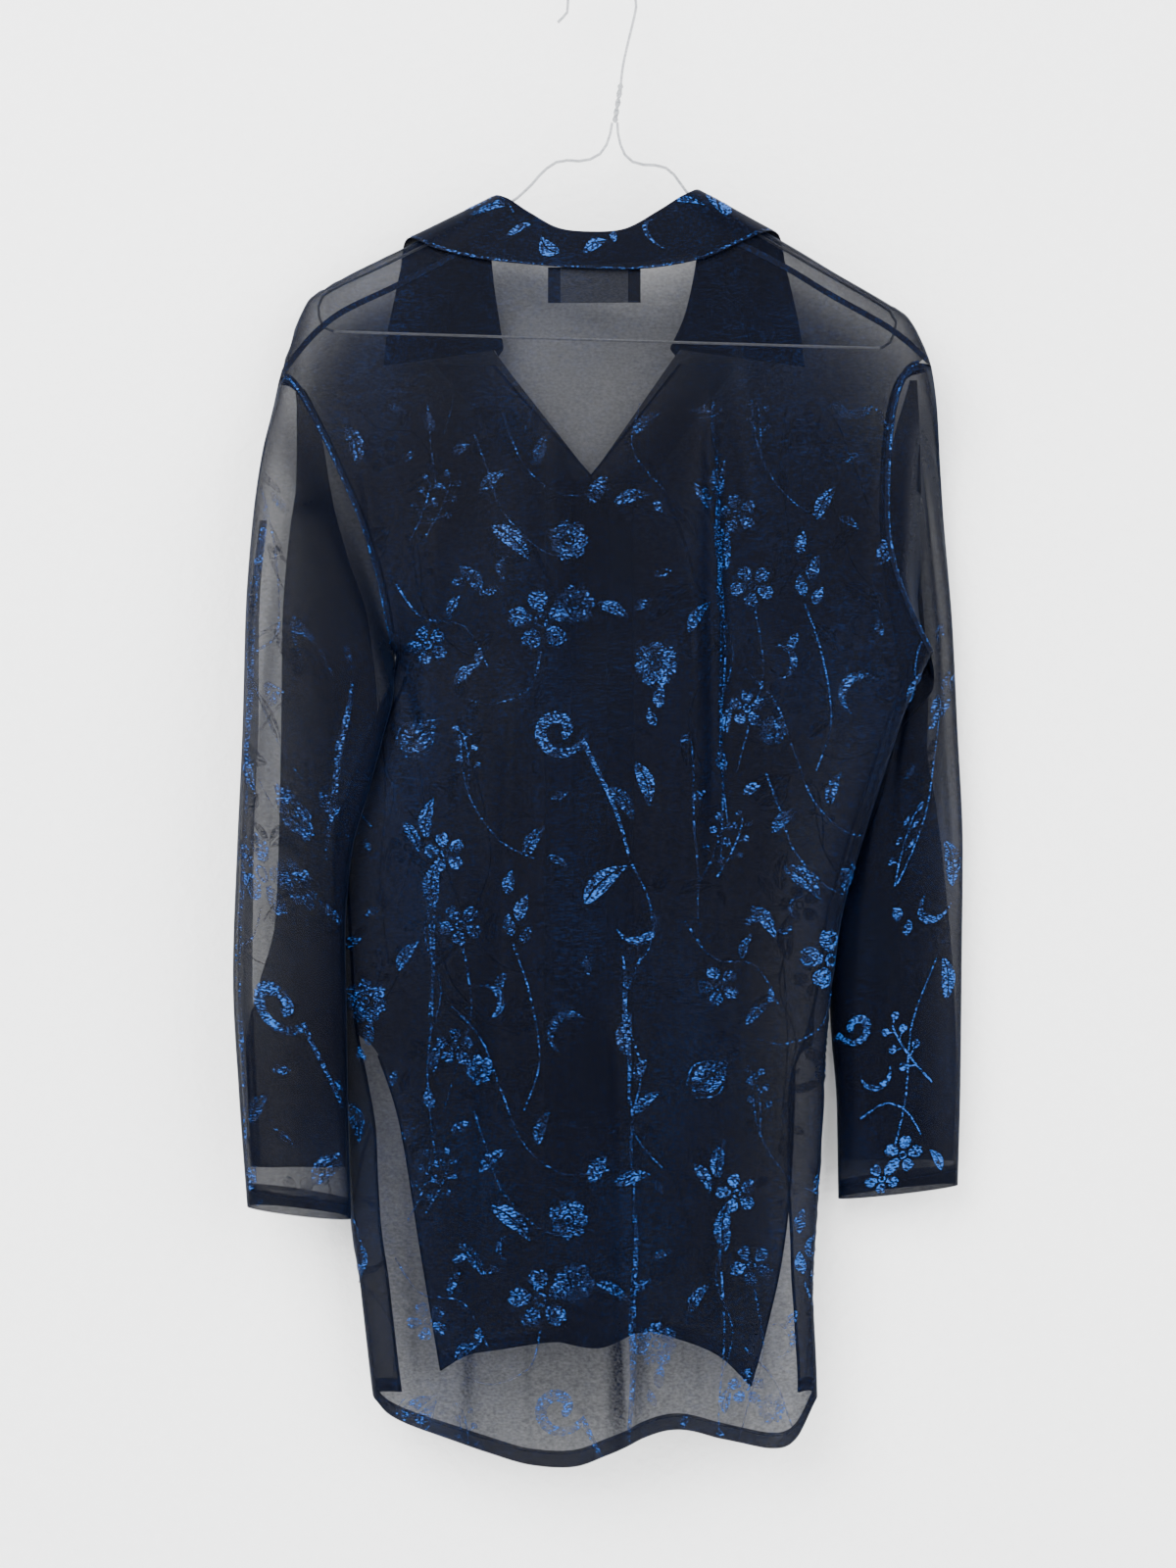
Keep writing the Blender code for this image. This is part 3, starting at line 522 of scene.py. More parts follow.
def joined(parts):
    """Vertices and faces of several small meshes as one."""
    vertices = []
    faces = []
    count = 0
    for part_vertices, part_faces in parts:
        vertices.append(np.asarray(part_vertices, float).reshape(-1, 3))
        faces.extend(tuple(index + count for index in face) for face in part_faces)
        count += len(vertices[-1])
    return np.concatenate(vertices), faces


def patch(edges, across, down):
    """Flat pattern points inside four edges (top, bottom, start, end)."""
    top, bottom, start, end = [[tuple(point) for point in edge] for edge in edges]
    s = across[None, :, None]
    v = down[:, None, None]
    t = resample(top, across)[None]
    b = resample(bottom, across)[None]
    a = resample(start, down)[:, None]
    e = resample(end, down)[:, None]
    corners = (1 - s) * (1 - v) * np.array(top[0]) + s * (1 - v) * np.array(top[-1])
    corners = corners + (1 - s) * v * np.array(bottom[0]) + s * v * np.array(bottom[-1])
    return (1 - v) * t + v * b + (1 - s) * a + s * e - corners


def spread(count):
    """Even fractions from 0 to 1, a little closer together at both ends."""
    even = np.linspace(0, 1, count + 1)
    return 0.5 * even + 0.25 * (1 - np.cos(np.pi * even))


print("grid helpers ready")

# %% [markdown]
# The finish of the mesh cloth
#
# The cloth is a fine, nearly black mesh. Its holes are far too small to model, so the material
# lets part of the light through instead. One layer of the back hides about three quarters of what
# is behind it, and more where it is seen edge on, because the yarns then cover each other. The
# share is a value for each panel, since the photo shows some of them darker. As it is the same
# cloth in every panel, the different shares of the back, the fronts and the sleeves are painted
# light and shade. A little noise makes the weave uneven, and shiny yarns make short glints along
# the weft.

# %% Helpers for the finishes
def new_material(name):
    """A node material with its shader and its node tree."""
    made = bpy.data.materials.new(name)
    made.use_nodes = True
    return made, made.node_tree.nodes["Principled BSDF"], made.node_tree


def ramp(tree, source, low, high, dark, bright):
    """A colour ramp from dark to bright between two values of a source."""
    node = tree.nodes.new("ShaderNodeValToRGB")
    node.color_ramp.elements[0].position = low
    node.color_ramp.elements[1].position = high
    node.color_ramp.elements[0].color = dark
    node.color_ramp.elements[1].color = bright
    tree.links.new(source, node.inputs["Fac"])
    return node.outputs["Color"]


def stretched_noise(tree, scale, detail=2.0):
    """Noise in the object's own space, stretched by a scale for each axis."""
    place = tree.nodes.new("ShaderNodeTexCoord")
    stretch = tree.nodes.new("ShaderNodeMapping")
    stretch.inputs["Scale"].default_value = scale
    noise = tree.nodes.new("ShaderNodeTexNoise")
    noise.inputs["Scale"].default_value = 1.0
    noise.inputs["Detail"].default_value = detail
    tree.links.new(place.outputs["Object"], stretch.inputs["Vector"])
    tree.links.new(stretch.outputs["Vector"], noise.inputs["Vector"])
    return noise.outputs["Fac"]


def arithmetic(tree, operation, first, second):
    """A math node on two sources or numbers."""
    node = tree.nodes.new("ShaderNodeMath")
    node.operation = operation
    for socket, value in zip(node.inputs, (first, second)):
        if isinstance(value, (int, float)):
            socket.default_value = value
        else:
            tree.links.new(value, socket)
    return node.outputs["Value"]


print("helpers for finishes ready")

# %% Finish of the mesh cloth
# The different covers of the same cloth in the back, the fronts and the sleeves are painted light and
# shade.
BACK_COVER = 0.77
FRONT_COVER = 0.86
LEFT_SLEEVE_COVER = 0.69
RIGHT_SLEEVE_COVER = 0.76
PLEAT_AND_SHADE_COVER = 0.84
FACING_COVER = 0.30
COLLAR_COVER = 0.88
COVER_EDGE_ON = 0.45
EDGE_ON_POWER = 1.2
COVER_LOW = 0.10
LOW_HEIGHTS = (-0.72, -1.04)
# Painted light: the fronts stop less light at the shoulders' height, so the shoulders look paler.
SHOULDER_PAINTED_LIGHT = -0.15
SHOULDER_HEIGHTS = (-0.34, -0.22)
WEFT_GLINTS = (320, 320, 1500)
CLOTH_PATCHES = (11, 11, 6)
PATCH_SHARE = 0.35
WEAVE = (380, 380, 620)
WEAVE_SHARE = 0.16
CLOTH_DARK = (0.0010, 0.0014, 0.0040, 1)
CLOTH_BLUE = (0.0025, 0.008, 0.032, 1)
SHEEN_BLUE = (0.25, 0.45, 1.0, 1)


def by_height(tree, heights, most):
    """A value that changes from 0 to the most between two heights in metres."""
    place = tree.nodes.new("ShaderNodeTexCoord")
    parts = tree.nodes.new("ShaderNodeSeparateXYZ")
    change = tree.nodes.new("ShaderNodeMapRange")
    change.inputs["From Min"].default_value = heights[0]
    change.inputs["From Max"].default_value = heights[1]
    change.inputs["To Max"].default_value = most
    tree.links.new(place.outputs["Object"], parts.inputs["Vector"])
    tree.links.new(parts.outputs["Z"], change.inputs["Value"])
    return change.outputs["Result"]


def make_mesh_cloth(name, cover_head_on, cover_at_shoulders=0.0):
    """Sheer cloth. Its cover is the share of light that one layer stops when seen head on."""
    made, shader, tree = new_material(name)
    glints = stretched_noise(tree, WEFT_GLINTS)
    patches = arithmetic(tree, "MULTIPLY", stretched_noise(tree, CLOTH_PATCHES), PATCH_SHARE)
    glints = arithmetic(tree, "ADD", glints, patches)
    colour = ramp(tree, glints, 0.70, 0.96, CLOTH_DARK, CLOTH_BLUE)
    facing = tree.nodes.new("ShaderNodeLayerWeight")
    facing.inputs["Blend"].default_value = 0.5
    edge = arithmetic(tree, "POWER", facing.outputs["Facing"], EDGE_ON_POWER)
    edge = arithmetic(tree, "MULTIPLY", edge, COVER_EDGE_ON)
    weave = arithmetic(tree, "MULTIPLY", stretched_noise(tree, WEAVE), WEAVE_SHARE)
    cover = arithmetic(tree, "ADD", edge, weave)
    cover = arithmetic(tree, "ADD", cover, cover_head_on - WEAVE_SHARE / 2)
    cover = arithmetic(tree, "ADD", cover, by_height(tree, LOW_HEIGHTS, COVER_LOW))
    # Painted light at the shoulders' height, where cover_at_shoulders is not 0.
    cover = arithmetic(tree, "ADD", cover, by_height(tree, SHOULDER_HEIGHTS, cover_at_shoulders))
    tree.links.new(colour, shader.inputs["Base Color"])
    tree.links.new(cover, shader.inputs["Alpha"])
    shader.inputs["Roughness"].default_value = 0.5
    shader.inputs["Specular IOR Level"].default_value = 0.03
    shader.inputs["Sheen Weight"].default_value = 0.02
    shader.inputs["Sheen Roughness"].default_value = 0.4
    shader.inputs["Sheen Tint"].default_value = SHEEN_BLUE
    return made


back_finish = make_mesh_cloth("back_cloth", BACK_COVER)
front_finish = make_mesh_cloth("front_cloth", FRONT_COVER, SHOULDER_PAINTED_LIGHT)
collar_finish = make_mesh_cloth("collar_cloth", COLLAR_COVER)
left_sleeve_finish = make_mesh_cloth("left_sleeve_cloth", LEFT_SLEEVE_COVER)
right_sleeve_finish = make_mesh_cloth("right_sleeve_cloth", RIGHT_SLEEVE_COVER)
pleat_and_shade_finish = make_mesh_cloth("pleat_cloth", PLEAT_AND_SHADE_COVER)
facing_finish = make_mesh_cloth("facing_cloth", FACING_COVER)
print("cover of one layer of the back:", BACK_COVER)

# %% [markdown]
# The finish of the woven motifs
#
# The flowers are woven in with a shiny blue yarn. Each is a dim blue shape full of tiny bright
# dashes, and it flashes or fades as the cloth turns. A mirror-like finish would need a real
# weave to break it up, so the dashes are noise that is finer down the cloth than across it.
# Every motif brings its own number, shine, which says how much of it is bright.

# %% Finish of the shiny motifs
YARN_GLINTS = (430, 430, 950)
YARN_PATCHES = (60, 60, 80)
YARN_PATCH_SHARE = 0.34
SHINE_SHARE = 0.14
BRIGHT_FROM = 0.83
BRIGHT_TO = 0.90
COVERED_FROM = 0.65
COVERED_TO = 0.87
YARN_DIM = (0.0032, 0.0105, 0.045, 1)
YARN_BRIGHT = (0.010, 0.078, 0.310, 1)
LEAST_COVER = (0.04, 0.04, 0.04, 1)
MOST_COVER = (0.88, 0.88, 0.88, 1)


def make_motif_yarn():
    """Blue yarn, with bright dashes where the noise and the shine add up."""
    made, shader, tree = new_material("motif_yarn")
    glints = stretched_noise(tree, YARN_GLINTS, 1.0)
    patches = arithmetic(tree, "MULTIPLY", stretched_noise(tree, YARN_PATCHES, 1.0), YARN_PATCH_SHARE)
    shine = tree.nodes.new("ShaderNodeAttribute")
    shine.attribute_name = "shine"
    lifted = arithmetic(tree, "MULTIPLY", shine.outputs["Fac"], SHINE_SHARE)
    bright = arithmetic(tree, "ADD", glints, lifted)
    bright = arithmetic(tree, "ADD", bright, patches)
    colour = ramp(tree, bright, BRIGHT_FROM, BRIGHT_TO, YARN_DIM, YARN_BRIGHT)
    cover = ramp(tree, bright, COVERED_FROM, COVERED_TO, LEAST_COVER, MOST_COVER)
    tree.links.new(colour, shader.inputs["Base Color"])
    tree.links.new(cover, shader.inputs["Alpha"])
    shader.inputs["Roughness"].default_value = 0.45
    shader.inputs["Specular IOR Level"].default_value = 0.10
    return made


motif_yarn = make_motif_yarn()
print("motif finish ready, shine adds up to", SHINE_SHARE)

# %% [markdown]
# The other finishes
#
# Sewing thread is matt and almost black. The label is a woven satin ribbon with dark ends and
# a grey middle, which is left bare. The buttons are polished plastic, and the hanger is plain
# galvanised wire. Each colour varies a little through noise, because one flat colour looks
# painted. The hanger's bar catches the light in the photo, so it has a much brighter steel than
# the rest of the wire, which is a painted highlight.

# %% Finishes of the seams, the label, the buttons and the wire
THREAD_DARK = (0.0010, 0.0014, 0.004, 1)
THREAD_BLUE = (0.0030, 0.011, 0.045, 1)


def make_thread():
    """Matt dark thread."""
    made, shader, tree = new_material("seam_thread")
    noise = stretched_noise(tree, (700, 700, 700))
    colour = ramp(tree, noise, 0.50, 0.80, THREAD_DARK, THREAD_BLUE)
    tree.links.new(colour, shader.inputs["Base Color"])
    shader.inputs["Roughness"].default_value = 0.7
    shader.inputs["Specular IOR Level"].default_value = 0.05
    return made


LABEL_LEFT = -39
LABEL_RIGHT = 28
LABEL_END = 9.0
RIBBON_GREY = (0.16, 0.165, 0.18, 1)
RIBBON_PALE = (0.30, 0.31, 0.34, 1)
RIBBON_BLACK = (0.006, 0.006, 0.008, 1)


def make_label_cloth():
    """Satin ribbon whose two ends are black."""
    made, shader, tree = new_material("label_cloth")
    place = tree.nodes.new("ShaderNodeTexCoord")
    parts = tree.nodes.new("ShaderNodeSeparateXYZ")
    tree.links.new(place.outputs["Object"], parts.inputs["Vector"])
    centre = (LABEL_LEFT + LABEL_RIGHT) / 2 * MM
    away = arithmetic(tree, "SUBTRACT", parts.outputs["X"], centre)
    away = arithmetic(tree, "ABSOLUTE", away, 0.0)
    edge = ((LABEL_RIGHT - LABEL_LEFT) / 2 - LABEL_END) * MM
    ends = arithmetic(tree, "GREATER_THAN", away, edge)
    weave = stretched_noise(tree, (500, 500, 2600), 1.0)
    middle_colour = ramp(tree, weave, 0.3, 0.7, RIBBON_GREY, RIBBON_PALE)
    mix = tree.nodes.new("ShaderNodeMix")
    mix.data_type = "RGBA"
    tree.links.new(ends, mix.inputs["Factor"])
    tree.links.new(middle_colour, mix.inputs[6])
    mix.inputs[7].default_value = RIBBON_BLACK
    tree.links.new(mix.outputs[2], shader.inputs["Base Color"])
    shader.inputs["Roughness"].default_value = 0.6
    return made


PLASTIC_DARK = (0.006, 0.008, 0.02, 1)
PLASTIC_NAVY = (0.018, 0.024, 0.05, 1)


def make_button_plastic():
    """Polished plastic with a faint swirl."""
    made, shader, tree = new_material("button_plastic")
    swirl = stretched_noise(tree, (180, 180, 180))
    colour = ramp(tree, swirl, 0.3, 0.7, PLASTIC_DARK, PLASTIC_NAVY)
    tree.links.new(colour, shader.inputs["Base Color"])
    shader.inputs["Roughness"].default_value = 0.22
    return made


def make_wire_steel(name, dark, bright):
    """Drawn wire, brushed along its length."""
    made, shader, tree = new_material(name)
    brushing = stretched_noise(tree, (300, 300, 1200))
    colour = ramp(tree, brushing, 0.3, 0.7, dark, bright)
    tree.links.new(colour, shader.inputs["Base Color"])
    rough = ramp(tree, brushing, 0.2, 0.8, (0.30, 0.30, 0.30, 1), (0.42, 0.42, 0.42, 1))
    tree.links.new(rough, shader.inputs["Roughness"])
    shader.inputs["Metallic"].default_value = 0.35
    return made


seam_thread = make_thread()
label_cloth = make_label_cloth()
button_plastic = make_button_plastic()
wire_steel = make_wire_steel("wire_steel", (0.22, 0.23, 0.245, 1), (0.40, 0.41, 0.43, 1))
# The bar's steel is much paler than the wire's: a painted highlight of the light it catches.
bar_steel = make_wire_steel("bar_steel", (0.90, 0.91, 0.93, 1), (0.97, 0.98, 1.0, 1))
print("materials:", len(bpy.data.materials))

# %% [markdown]
# Edges of the panels
#
# A panel is one piece of cloth, and four edges bound it: its top, its bottom and two sides.
# The armhole is a curve from the shoulder's tip to the underarm. A side seam runs down from
# there and lies a little way round the fold, because the back of this blouse is the wider
# piece. Below the slit's top it goes further round, which gives the darker bands of two layers
# beside both slits.

# %% Edges of the panels
def armhole(rows, angle):
    """Points of one or more armhole rings: 0 is the shoulder's tip and pi is the underarm."""
    outer = np.stack([rows["outer_x"], rows["outer_z"]], axis=-1)
    inner = np.stack([rows["inner_x"], rows["inner_z"]], axis=-1)
    centre = (outer + inner) / 2
    reach = (outer - inner) / 2
    inward = np.stack([-reach[..., 1], reach[..., 0]], axis=-1)
    inward = inward / np.linalg.norm(inward, axis=-1, keepdims=True)
    inward = np.where(inward[..., :1] * centre[..., :1] > 0, -inward, inward)
    power = np.where(angle < math.pi / 2, UPPER_BOW, LOWER_BOW)
    bow = rows["bow"] * np.abs(np.sin(angle)) ** power
    return centre + reach * np.cos(angle)[..., None] + inward * bow[..., None]


ARMHOLE_STEPS = 36
SIDE_STEPS = 16


def armhole_edge(rings):
    """The edge of a panel along an armhole, down to the underarm."""
    angle = np.pi * np.arange(1, ARMHOLE_STEPS + 1) / ARMHOLE_STEPS
    tip = rings[0]
    first = {field: np.full(angle.shape, float(getattr(tip, field))) for field in tip._fields}
    return [tuple(point) for point in armhole(first, angle)]


def wrap_width(z, slit_wrap):
    """How far the back goes round a side's fold, more below the slit's top."""
    wrap = slit_wrap
    growth = WRAP_GROWTH
    if slit_wrap == RIGHT_SLIT_WRAP:
        wrap += RIGHT_SLIT_CLOSED * float(smooth_step((z - CLOSED_END) / CLOSED_GROWTH))
        growth = RIGHT_WRAP_GROWTH
    return SIDE_WRAP + (wrap - SIDE_WRAP) * float(smooth_step((SLIT_TOP - z) / growth))


def side_edge(column, side, slit_wrap, bottom):
    """A side seam's pattern points from under the arm down, past the fold by the wrap's width."""
    edge = []
    for k in range(SIDE_STEPS + 1):
        z = UNDERARM + (bottom - UNDERARM) * k / SIDE_STEPS
        edge.append((float(read(TORSO, "z", column, z)) + side * wrap_width(z, slit_wrap), z))
    return edge


def over_crest(points):
    """Points behind the shoulder line as pattern points of a front."""
    return [(point[0], 2 * float(crest_height(point[0])) - point[1]) for point in points]


def back_edges():
    """Top, bottom and both sides of the back."""
    neck = [(row.seam_x, row.seam_z) for row in COLLAR if row.turn == BACK]
    left_seam = [tuple(point) for point in LEFT_SHOULDER_SEAM]
    right_seam = [tuple(point) for point in RIGHT_SHOULDER_SEAM]
    top = left_seam[::-1] + neck + right_seam
    left = [left_seam[-1]] + armhole_edge(LEFT_SLEEVE)
    left = left + side_edge("left", -1, LEFT_SLIT_WRAP, BACK_HEM[0].z)
    right = [right_seam[-1]] + armhole_edge(RIGHT_SLEEVE)
    right = right + side_edge("right", 1, RIGHT_SLIT_WRAP, BACK_HEM[-1].z)
    bottom = [left[-1]] + [tuple(point) for point in BACK_HEM] + [right[-1]]
    return top, bottom, left, right


def front_neck(side):
    """Pattern points of a front's neckline, from its shoulder seam to the V."""
    rows = [row for row in COLLAR if row.seam_x * side > 0 and row.turn > BACK]
    rows.sort(key=lambda row: row.turn)
    edge = []
    for row in rows:
        height = row.seam_z
        if row.turn < 0:
            height = 2 * float(crest_height(row.seam_x)) - height
        elif row.turn == 0:
            height = float(crest_height(row.seam_x))
        edge.append((row.seam_x, height))
    turned = [point for point, row in zip(edge, rows) if row.turn < 1]
    level = [point for point, row in zip(edge, rows) if row.turn == 1]
    return turned + sorted(level, key=lambda point: -point[1])


def front_edges(side, rings, seam, hem, slit, edge_x):
    """Top, bottom, front edge and outer edge of a front. The side is -1 or 1 for left or right."""
    top = over_crest(seam)
    inner = [top[0]] + front_neck(side)[1:]
    inner += [tuple(V_BOTTOM), (edge_x, OVERLAP_START)]
    inner += [(edge_x, level) for level in EDGE_LEVELS]
    inner.append(tuple(hem[0]))
    tip = rings[0].outer_x
    outer = [top[-1], (tip, float(crest_height(tip)))] + armhole_edge(rings)
    column = "left" if side < 0 else "right"
    outer += side_edge(column, -side, SIDE_WRAP, slit[0].z)[:-1]
    outer += [tuple(point) for point in slit]
    bottom = [tuple(point) for point in hem]
    return top, bottom, inner, outer


BACK_EDGES = back_edges()
LEFT_EDGES = front_edges(
    -1, LEFT_SLEEVE, LEFT_SHOULDER_SEAM, LEFT_FRONT_HEM, LEFT_SLIT, LEFT_FRONT_EDGE)
RIGHT_EDGES = front_edges(
    1, RIGHT_SLEEVE, RIGHT_SHOULDER_SEAM, RIGHT_FRONT_HEM, RIGHT_SLIT, RIGHT_FRONT_EDGE)
print("edges of the back:", [len(edge) for edge in BACK_EDGES])

# %% [markdown]
# The back and the two fronts
#
# The back is one long piece. The fronts are shorter and lap over each other below the V. A
# patch between four edges gives a grid whose rows run along the hem and along the shoulders,
# so the cloth's edge is clean without any cutting. The rows are a little denser at the top,
# where the cloth turns over the shoulder.

# %% The back and the two fronts
BACK_LENGTH = 870
FRONT_LENGTH = 830
SLEEVE_LENGTH = 605


def back_points(across, down):
    """Points of the back at fractions of its pattern."""
    pattern = patch(BACK_EDGES, across, down)
    return on_torso(pattern[..., 0], pattern[..., 1], BACK)


def front_points(edges, side, across, down):
    """Points of a front at fractions of its pattern."""
    pattern = patch(edges, across, down)
    return front_shift(on_torso(pattern[..., 0], pattern[..., 1], FRONT), side)


BACK_CROWDING = 1.15
FRONT_CROWDING = 1.3
back_across = spread(130)
front_across = spread(64)
panel_down = np.linspace(0, 1, 221)
back = grid_object(
    "back_cloth", back_points(back_across, panel_down**BACK_CROWDING), back_finish, "mesh_cloth")
front_left = grid_object(
    "front_left_cloth", front_points(LEFT_EDGES, -1, front_across, panel_down**FRONT_CROWDING),
    front_finish, "mesh_cloth")
front_right = grid_object(
    "front_right_cloth", front_points(RIGHT_EDGES, 1, front_across, panel_down**FRONT_CROWDING),
    front_finish, "mesh_cloth")
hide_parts("back_panel")
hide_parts("front_left")
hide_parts("front_right")


def area_of(made):
    """Surface area of a mesh in square metres."""
    return sum(face.area for face in made.data.polygons)


for made in (back, front_left, front_right):
    print(made.name, "area", round(area_of(made), 3), "m2")

# %% [markdown]
# The sleeves
#
# A long sleeve hangs as a flattened tube. It is one grid that closes on itself: t runs from the
# armhole to the cuff, and turn goes once round, from the shoulder over the back to the
# underarm and up the front. Near the armhole the tube blends into the torso's own surface, so
# that the sleeve meets the panels along the whole seam and leaves no gap.

# %% Surface of a sleeve
FOLD_SWING = 7.0
FOLD_IN = 0.12
FOLD_OUT = 0.10
SECTION_FIELDS = ("place",) + SleeveRing._fields
Section = namedtuple("Section", SECTION_FIELDS)


def sleeve_at(rings, folds, turn, t, side_lift=0.0):
    """Points of a sleeve: turn is from the shoulder over the back, and t from armhole to cuff."""
    places = np.linspace(0, 1, len(rings))
    sections = [Section(place, *ring) for place, ring in zip(places, rings)]
    angle = turn * 2 * math.pi
    rows = {field: read(sections, "place", field, t) for field in SleeveRing._fields}
    half_turn = np.where(angle <= math.pi, angle, 2 * math.pi - angle)
    face = np.where(angle <= math.pi, BACK, FRONT)
    flat = armhole(rows, half_turn)
    reach = np.abs(np.sin(angle)) ** SLEEVE_ROUNDNESS
    crease = np.full(t.shape, side_lift)
    for fold in folds:
        off = np.degrees(angle) - fold.angle - fold.drift * np.sin((t - fold.start) * FOLD_SWING)
        away = np.clip(np.abs(off) / fold.half_angle, 0, 1)
        ends = smooth_step((t - fold.start) / FOLD_IN) * smooth_step((fold.end - t) / FOLD_OUT)
        crease += fold.height * ends * np.cos(away * math.pi / 2) ** 2
    y = rows["middle"] + face * (rows["half_depth"] * reach + crease * np.minimum(reach * 2, 1))
    joined_part = 1 - smooth_step(t / ARMHOLE_BLEND)
    y = y * (1 - joined_part) + torso_y(flat[..., 0], flat[..., 1], face) * joined_part
    return np.stack([flat[..., 0], y, flat[..., 1]], axis=-1)


def sleeve_points(rings, folds, around, along, side_lift=0.0):
    """A grid of a sleeve's points."""
    t, turn = np.meshgrid(along, around, indexing="ij")
    return sleeve_at(rings, folds, turn, t, side_lift)


around = np.arange(96) / 96
along = np.linspace(0, 1, 141)
sleeve_left = grid_object(
    "sleeve_left_cloth", sleeve_points(LEFT_SLEEVE, LEFT_SLEEVE_FOLDS, around, along),
    left_sleeve_finish, "mesh_cloth", closed=True)
sleeve_right = grid_object(
    "sleeve_right_cloth", sleeve_points(RIGHT_SLEEVE, RIGHT_SLEEVE_FOLDS, around, along),
    right_sleeve_finish, "mesh_cloth", closed=True)
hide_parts("sleeve_left")
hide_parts("sleeve_right")
for made in (sleeve_left, sleeve_right):
    print(made.name, "area", round(area_of(made), 3), "m2")

# %% [markdown]
# Cloth folded inside the sleeves, and painted shade
#
# The real sleeves are wider than they look, and part of their cloth is folded away between the
# two layers. Such a place is darker, and beside it a pale stripe of two layers is left. The
# darker stripes are also the shade that each sleeve casts on the wall behind it, so these extra
# layers are partly painted shade. Folding the tube itself would need sharp turns. A narrow extra
# layer between the two gives the same dark and pale stripes. A row gives the layer's left and
# right edge at one height.

# %% Cloth folded inside the sleeves, partly painted shade
PLEAT_AND_SHADE_DROP = 120
WAVE_ACROSS = 1.6
WAVE_DOWN = 1.1
PleatRow = namedtuple("PleatRow", "z left right")
LEFT_PLEAT_AND_SHADE = [
    PleatRow(-303, -224, -217),
    PleatRow(-318, -223, -209),
    PleatRow(-345, -223, -203),
    PleatRow(-377, -224, -198),
    PleatRow(-420, -227, -186),
    PleatRow(-477, -230, -168),
    PleatRow(-540, -231, -162),
    PleatRow(-600, -232, -172),
    PleatRow(-691, -236, -187),
    PleatRow(-735, -247, -187),
    PleatRow(-780, -257, -186),
    PleatRow(-868, -253, -185),
]
LEFT_TURN_AND_SHADE = [
    PleatRow(-400, -248, -243),
    PleatRow(-470, -254, -247),
    PleatRow(-550, -256, -248),
    PleatRow(-640, -260, -251),
    PleatRow(-730, -263, -252),
    PleatRow(-812, -259, -249),
    PleatRow(-868, -254, -246),
]
RIGHT_PLEAT_AND_SHADE = [
    PleatRow(-298, 224, 229),
    PleatRow(-315, 219, 230),
    PleatRow(-340, 212, 231),
    PleatRow(-370, 208, 232),
    PleatRow(-420, 206, 234),
    PleatRow(-477, 214, 238),
    PleatRow(-520, 220, 241),
    PleatRow(-560, 217, 240),
    PleatRow(-600, 206, 236),
    PleatRow(-663, 182, 224),
    PleatRow(-734, 172, 212),
    PleatRow(-800, 174, 190),
]
RIGHT_TURN_AND_SHADE = [
    PleatRow(-560, 228, 238),
    PleatRow(-600, 212, 245),
    PleatRow(-663, 184, 253),
    PleatRow(-734, 173, 259),
    PleatRow(-800, 175, 261),
    PleatRow(-868, 177, 259),
]


def sleeve_pleat_and_shade(name, rings, rows, finish):
    """Cloth folded between the two layers of a sleeve, and painted shade of the wall behind it. Its rows
    give its edges at some heights.
    """
    heights = np.linspace(rows[0].z, rows[-1].z, 120)
    z, share = np.meshgrid(heights, np.linspace(0, 1, 24), indexing="ij")
    left = read(rows, "z", "left", z)
    right = read(rows, "z", "right", z)
    x = left + (right - left) * share
    wave = WAVE_ACROSS * np.sin(x / 6.0 + z / 70.0) + WAVE_DOWN * np.sin(z / 23.0)
    y = read(rings, "inner_z", "middle", z - PLEAT_AND_SHADE_DROP) + wave
    return grid_object(name, np.stack([x, y, z], axis=-1), finish, "mesh_cloth")


left_shaded_pleat = sleeve_pleat_and_shade("sleeve_left_pleat", LEFT_SLEEVE, LEFT_PLEAT_AND_SHADE, pleat_and_shade_finish)
left_shaded_turn = sleeve_pleat_and_shade("sleeve_left_turn", LEFT_SLEEVE, LEFT_TURN_AND_SHADE, left_sleeve_finish)
right_shaded_pleat = sleeve_pleat_and_shade("sleeve_right_pleat", RIGHT_SLEEVE, RIGHT_PLEAT_AND_SHADE, pleat_and_shade_finish)
right_shaded_turn = sleeve_pleat_and_shade("sleeve_right_turn", RIGHT_SLEEVE, RIGHT_TURN_AND_SHADE, right_sleeve_finish)
print("folded layers:", [made.name for made in (left_shaded_pleat, left_shaded_turn, right_shaded_pleat, right_shaded_turn)])

# %% [markdown]
# The collar
#
# The collar is two layers of cloth. It rises from the neck seam, turns over at a soft fold and
# lies down on the back and on the fronts, where it ends in two pointed leaves. Each section is
# two curves that meet at the fold: one from the seam, and one from there to the leaf's edge.
# Each curve has a set direction at both its ends, so the fold is round and the leaf arrives
# flat. Points that would sink into a panel are lifted out of it.

# %% Collar, a double layer that turns over at its fold
LEAF_LIFT = 3.4
FOLD_LIFT = 1.36
FOLD_SPREAD = 3.0
COLLAR_WALL = 0.9
COLLAR_SECTIONS = 128
COLLAR_STEPS = 9
LEAF_CROWDING = 1.3


def curve_point(start, end, leave, arrive, t):
    """A point on the curve that leaves the start and arrives at the end in given directions."""
    ends = start * (1 + 2 * t) * (1 - t) ** 2 + end * t * t * (3 - 2 * t)
    return ends + leave * t * (1 - t) ** 2 + arrive * t * t * (t - 1)


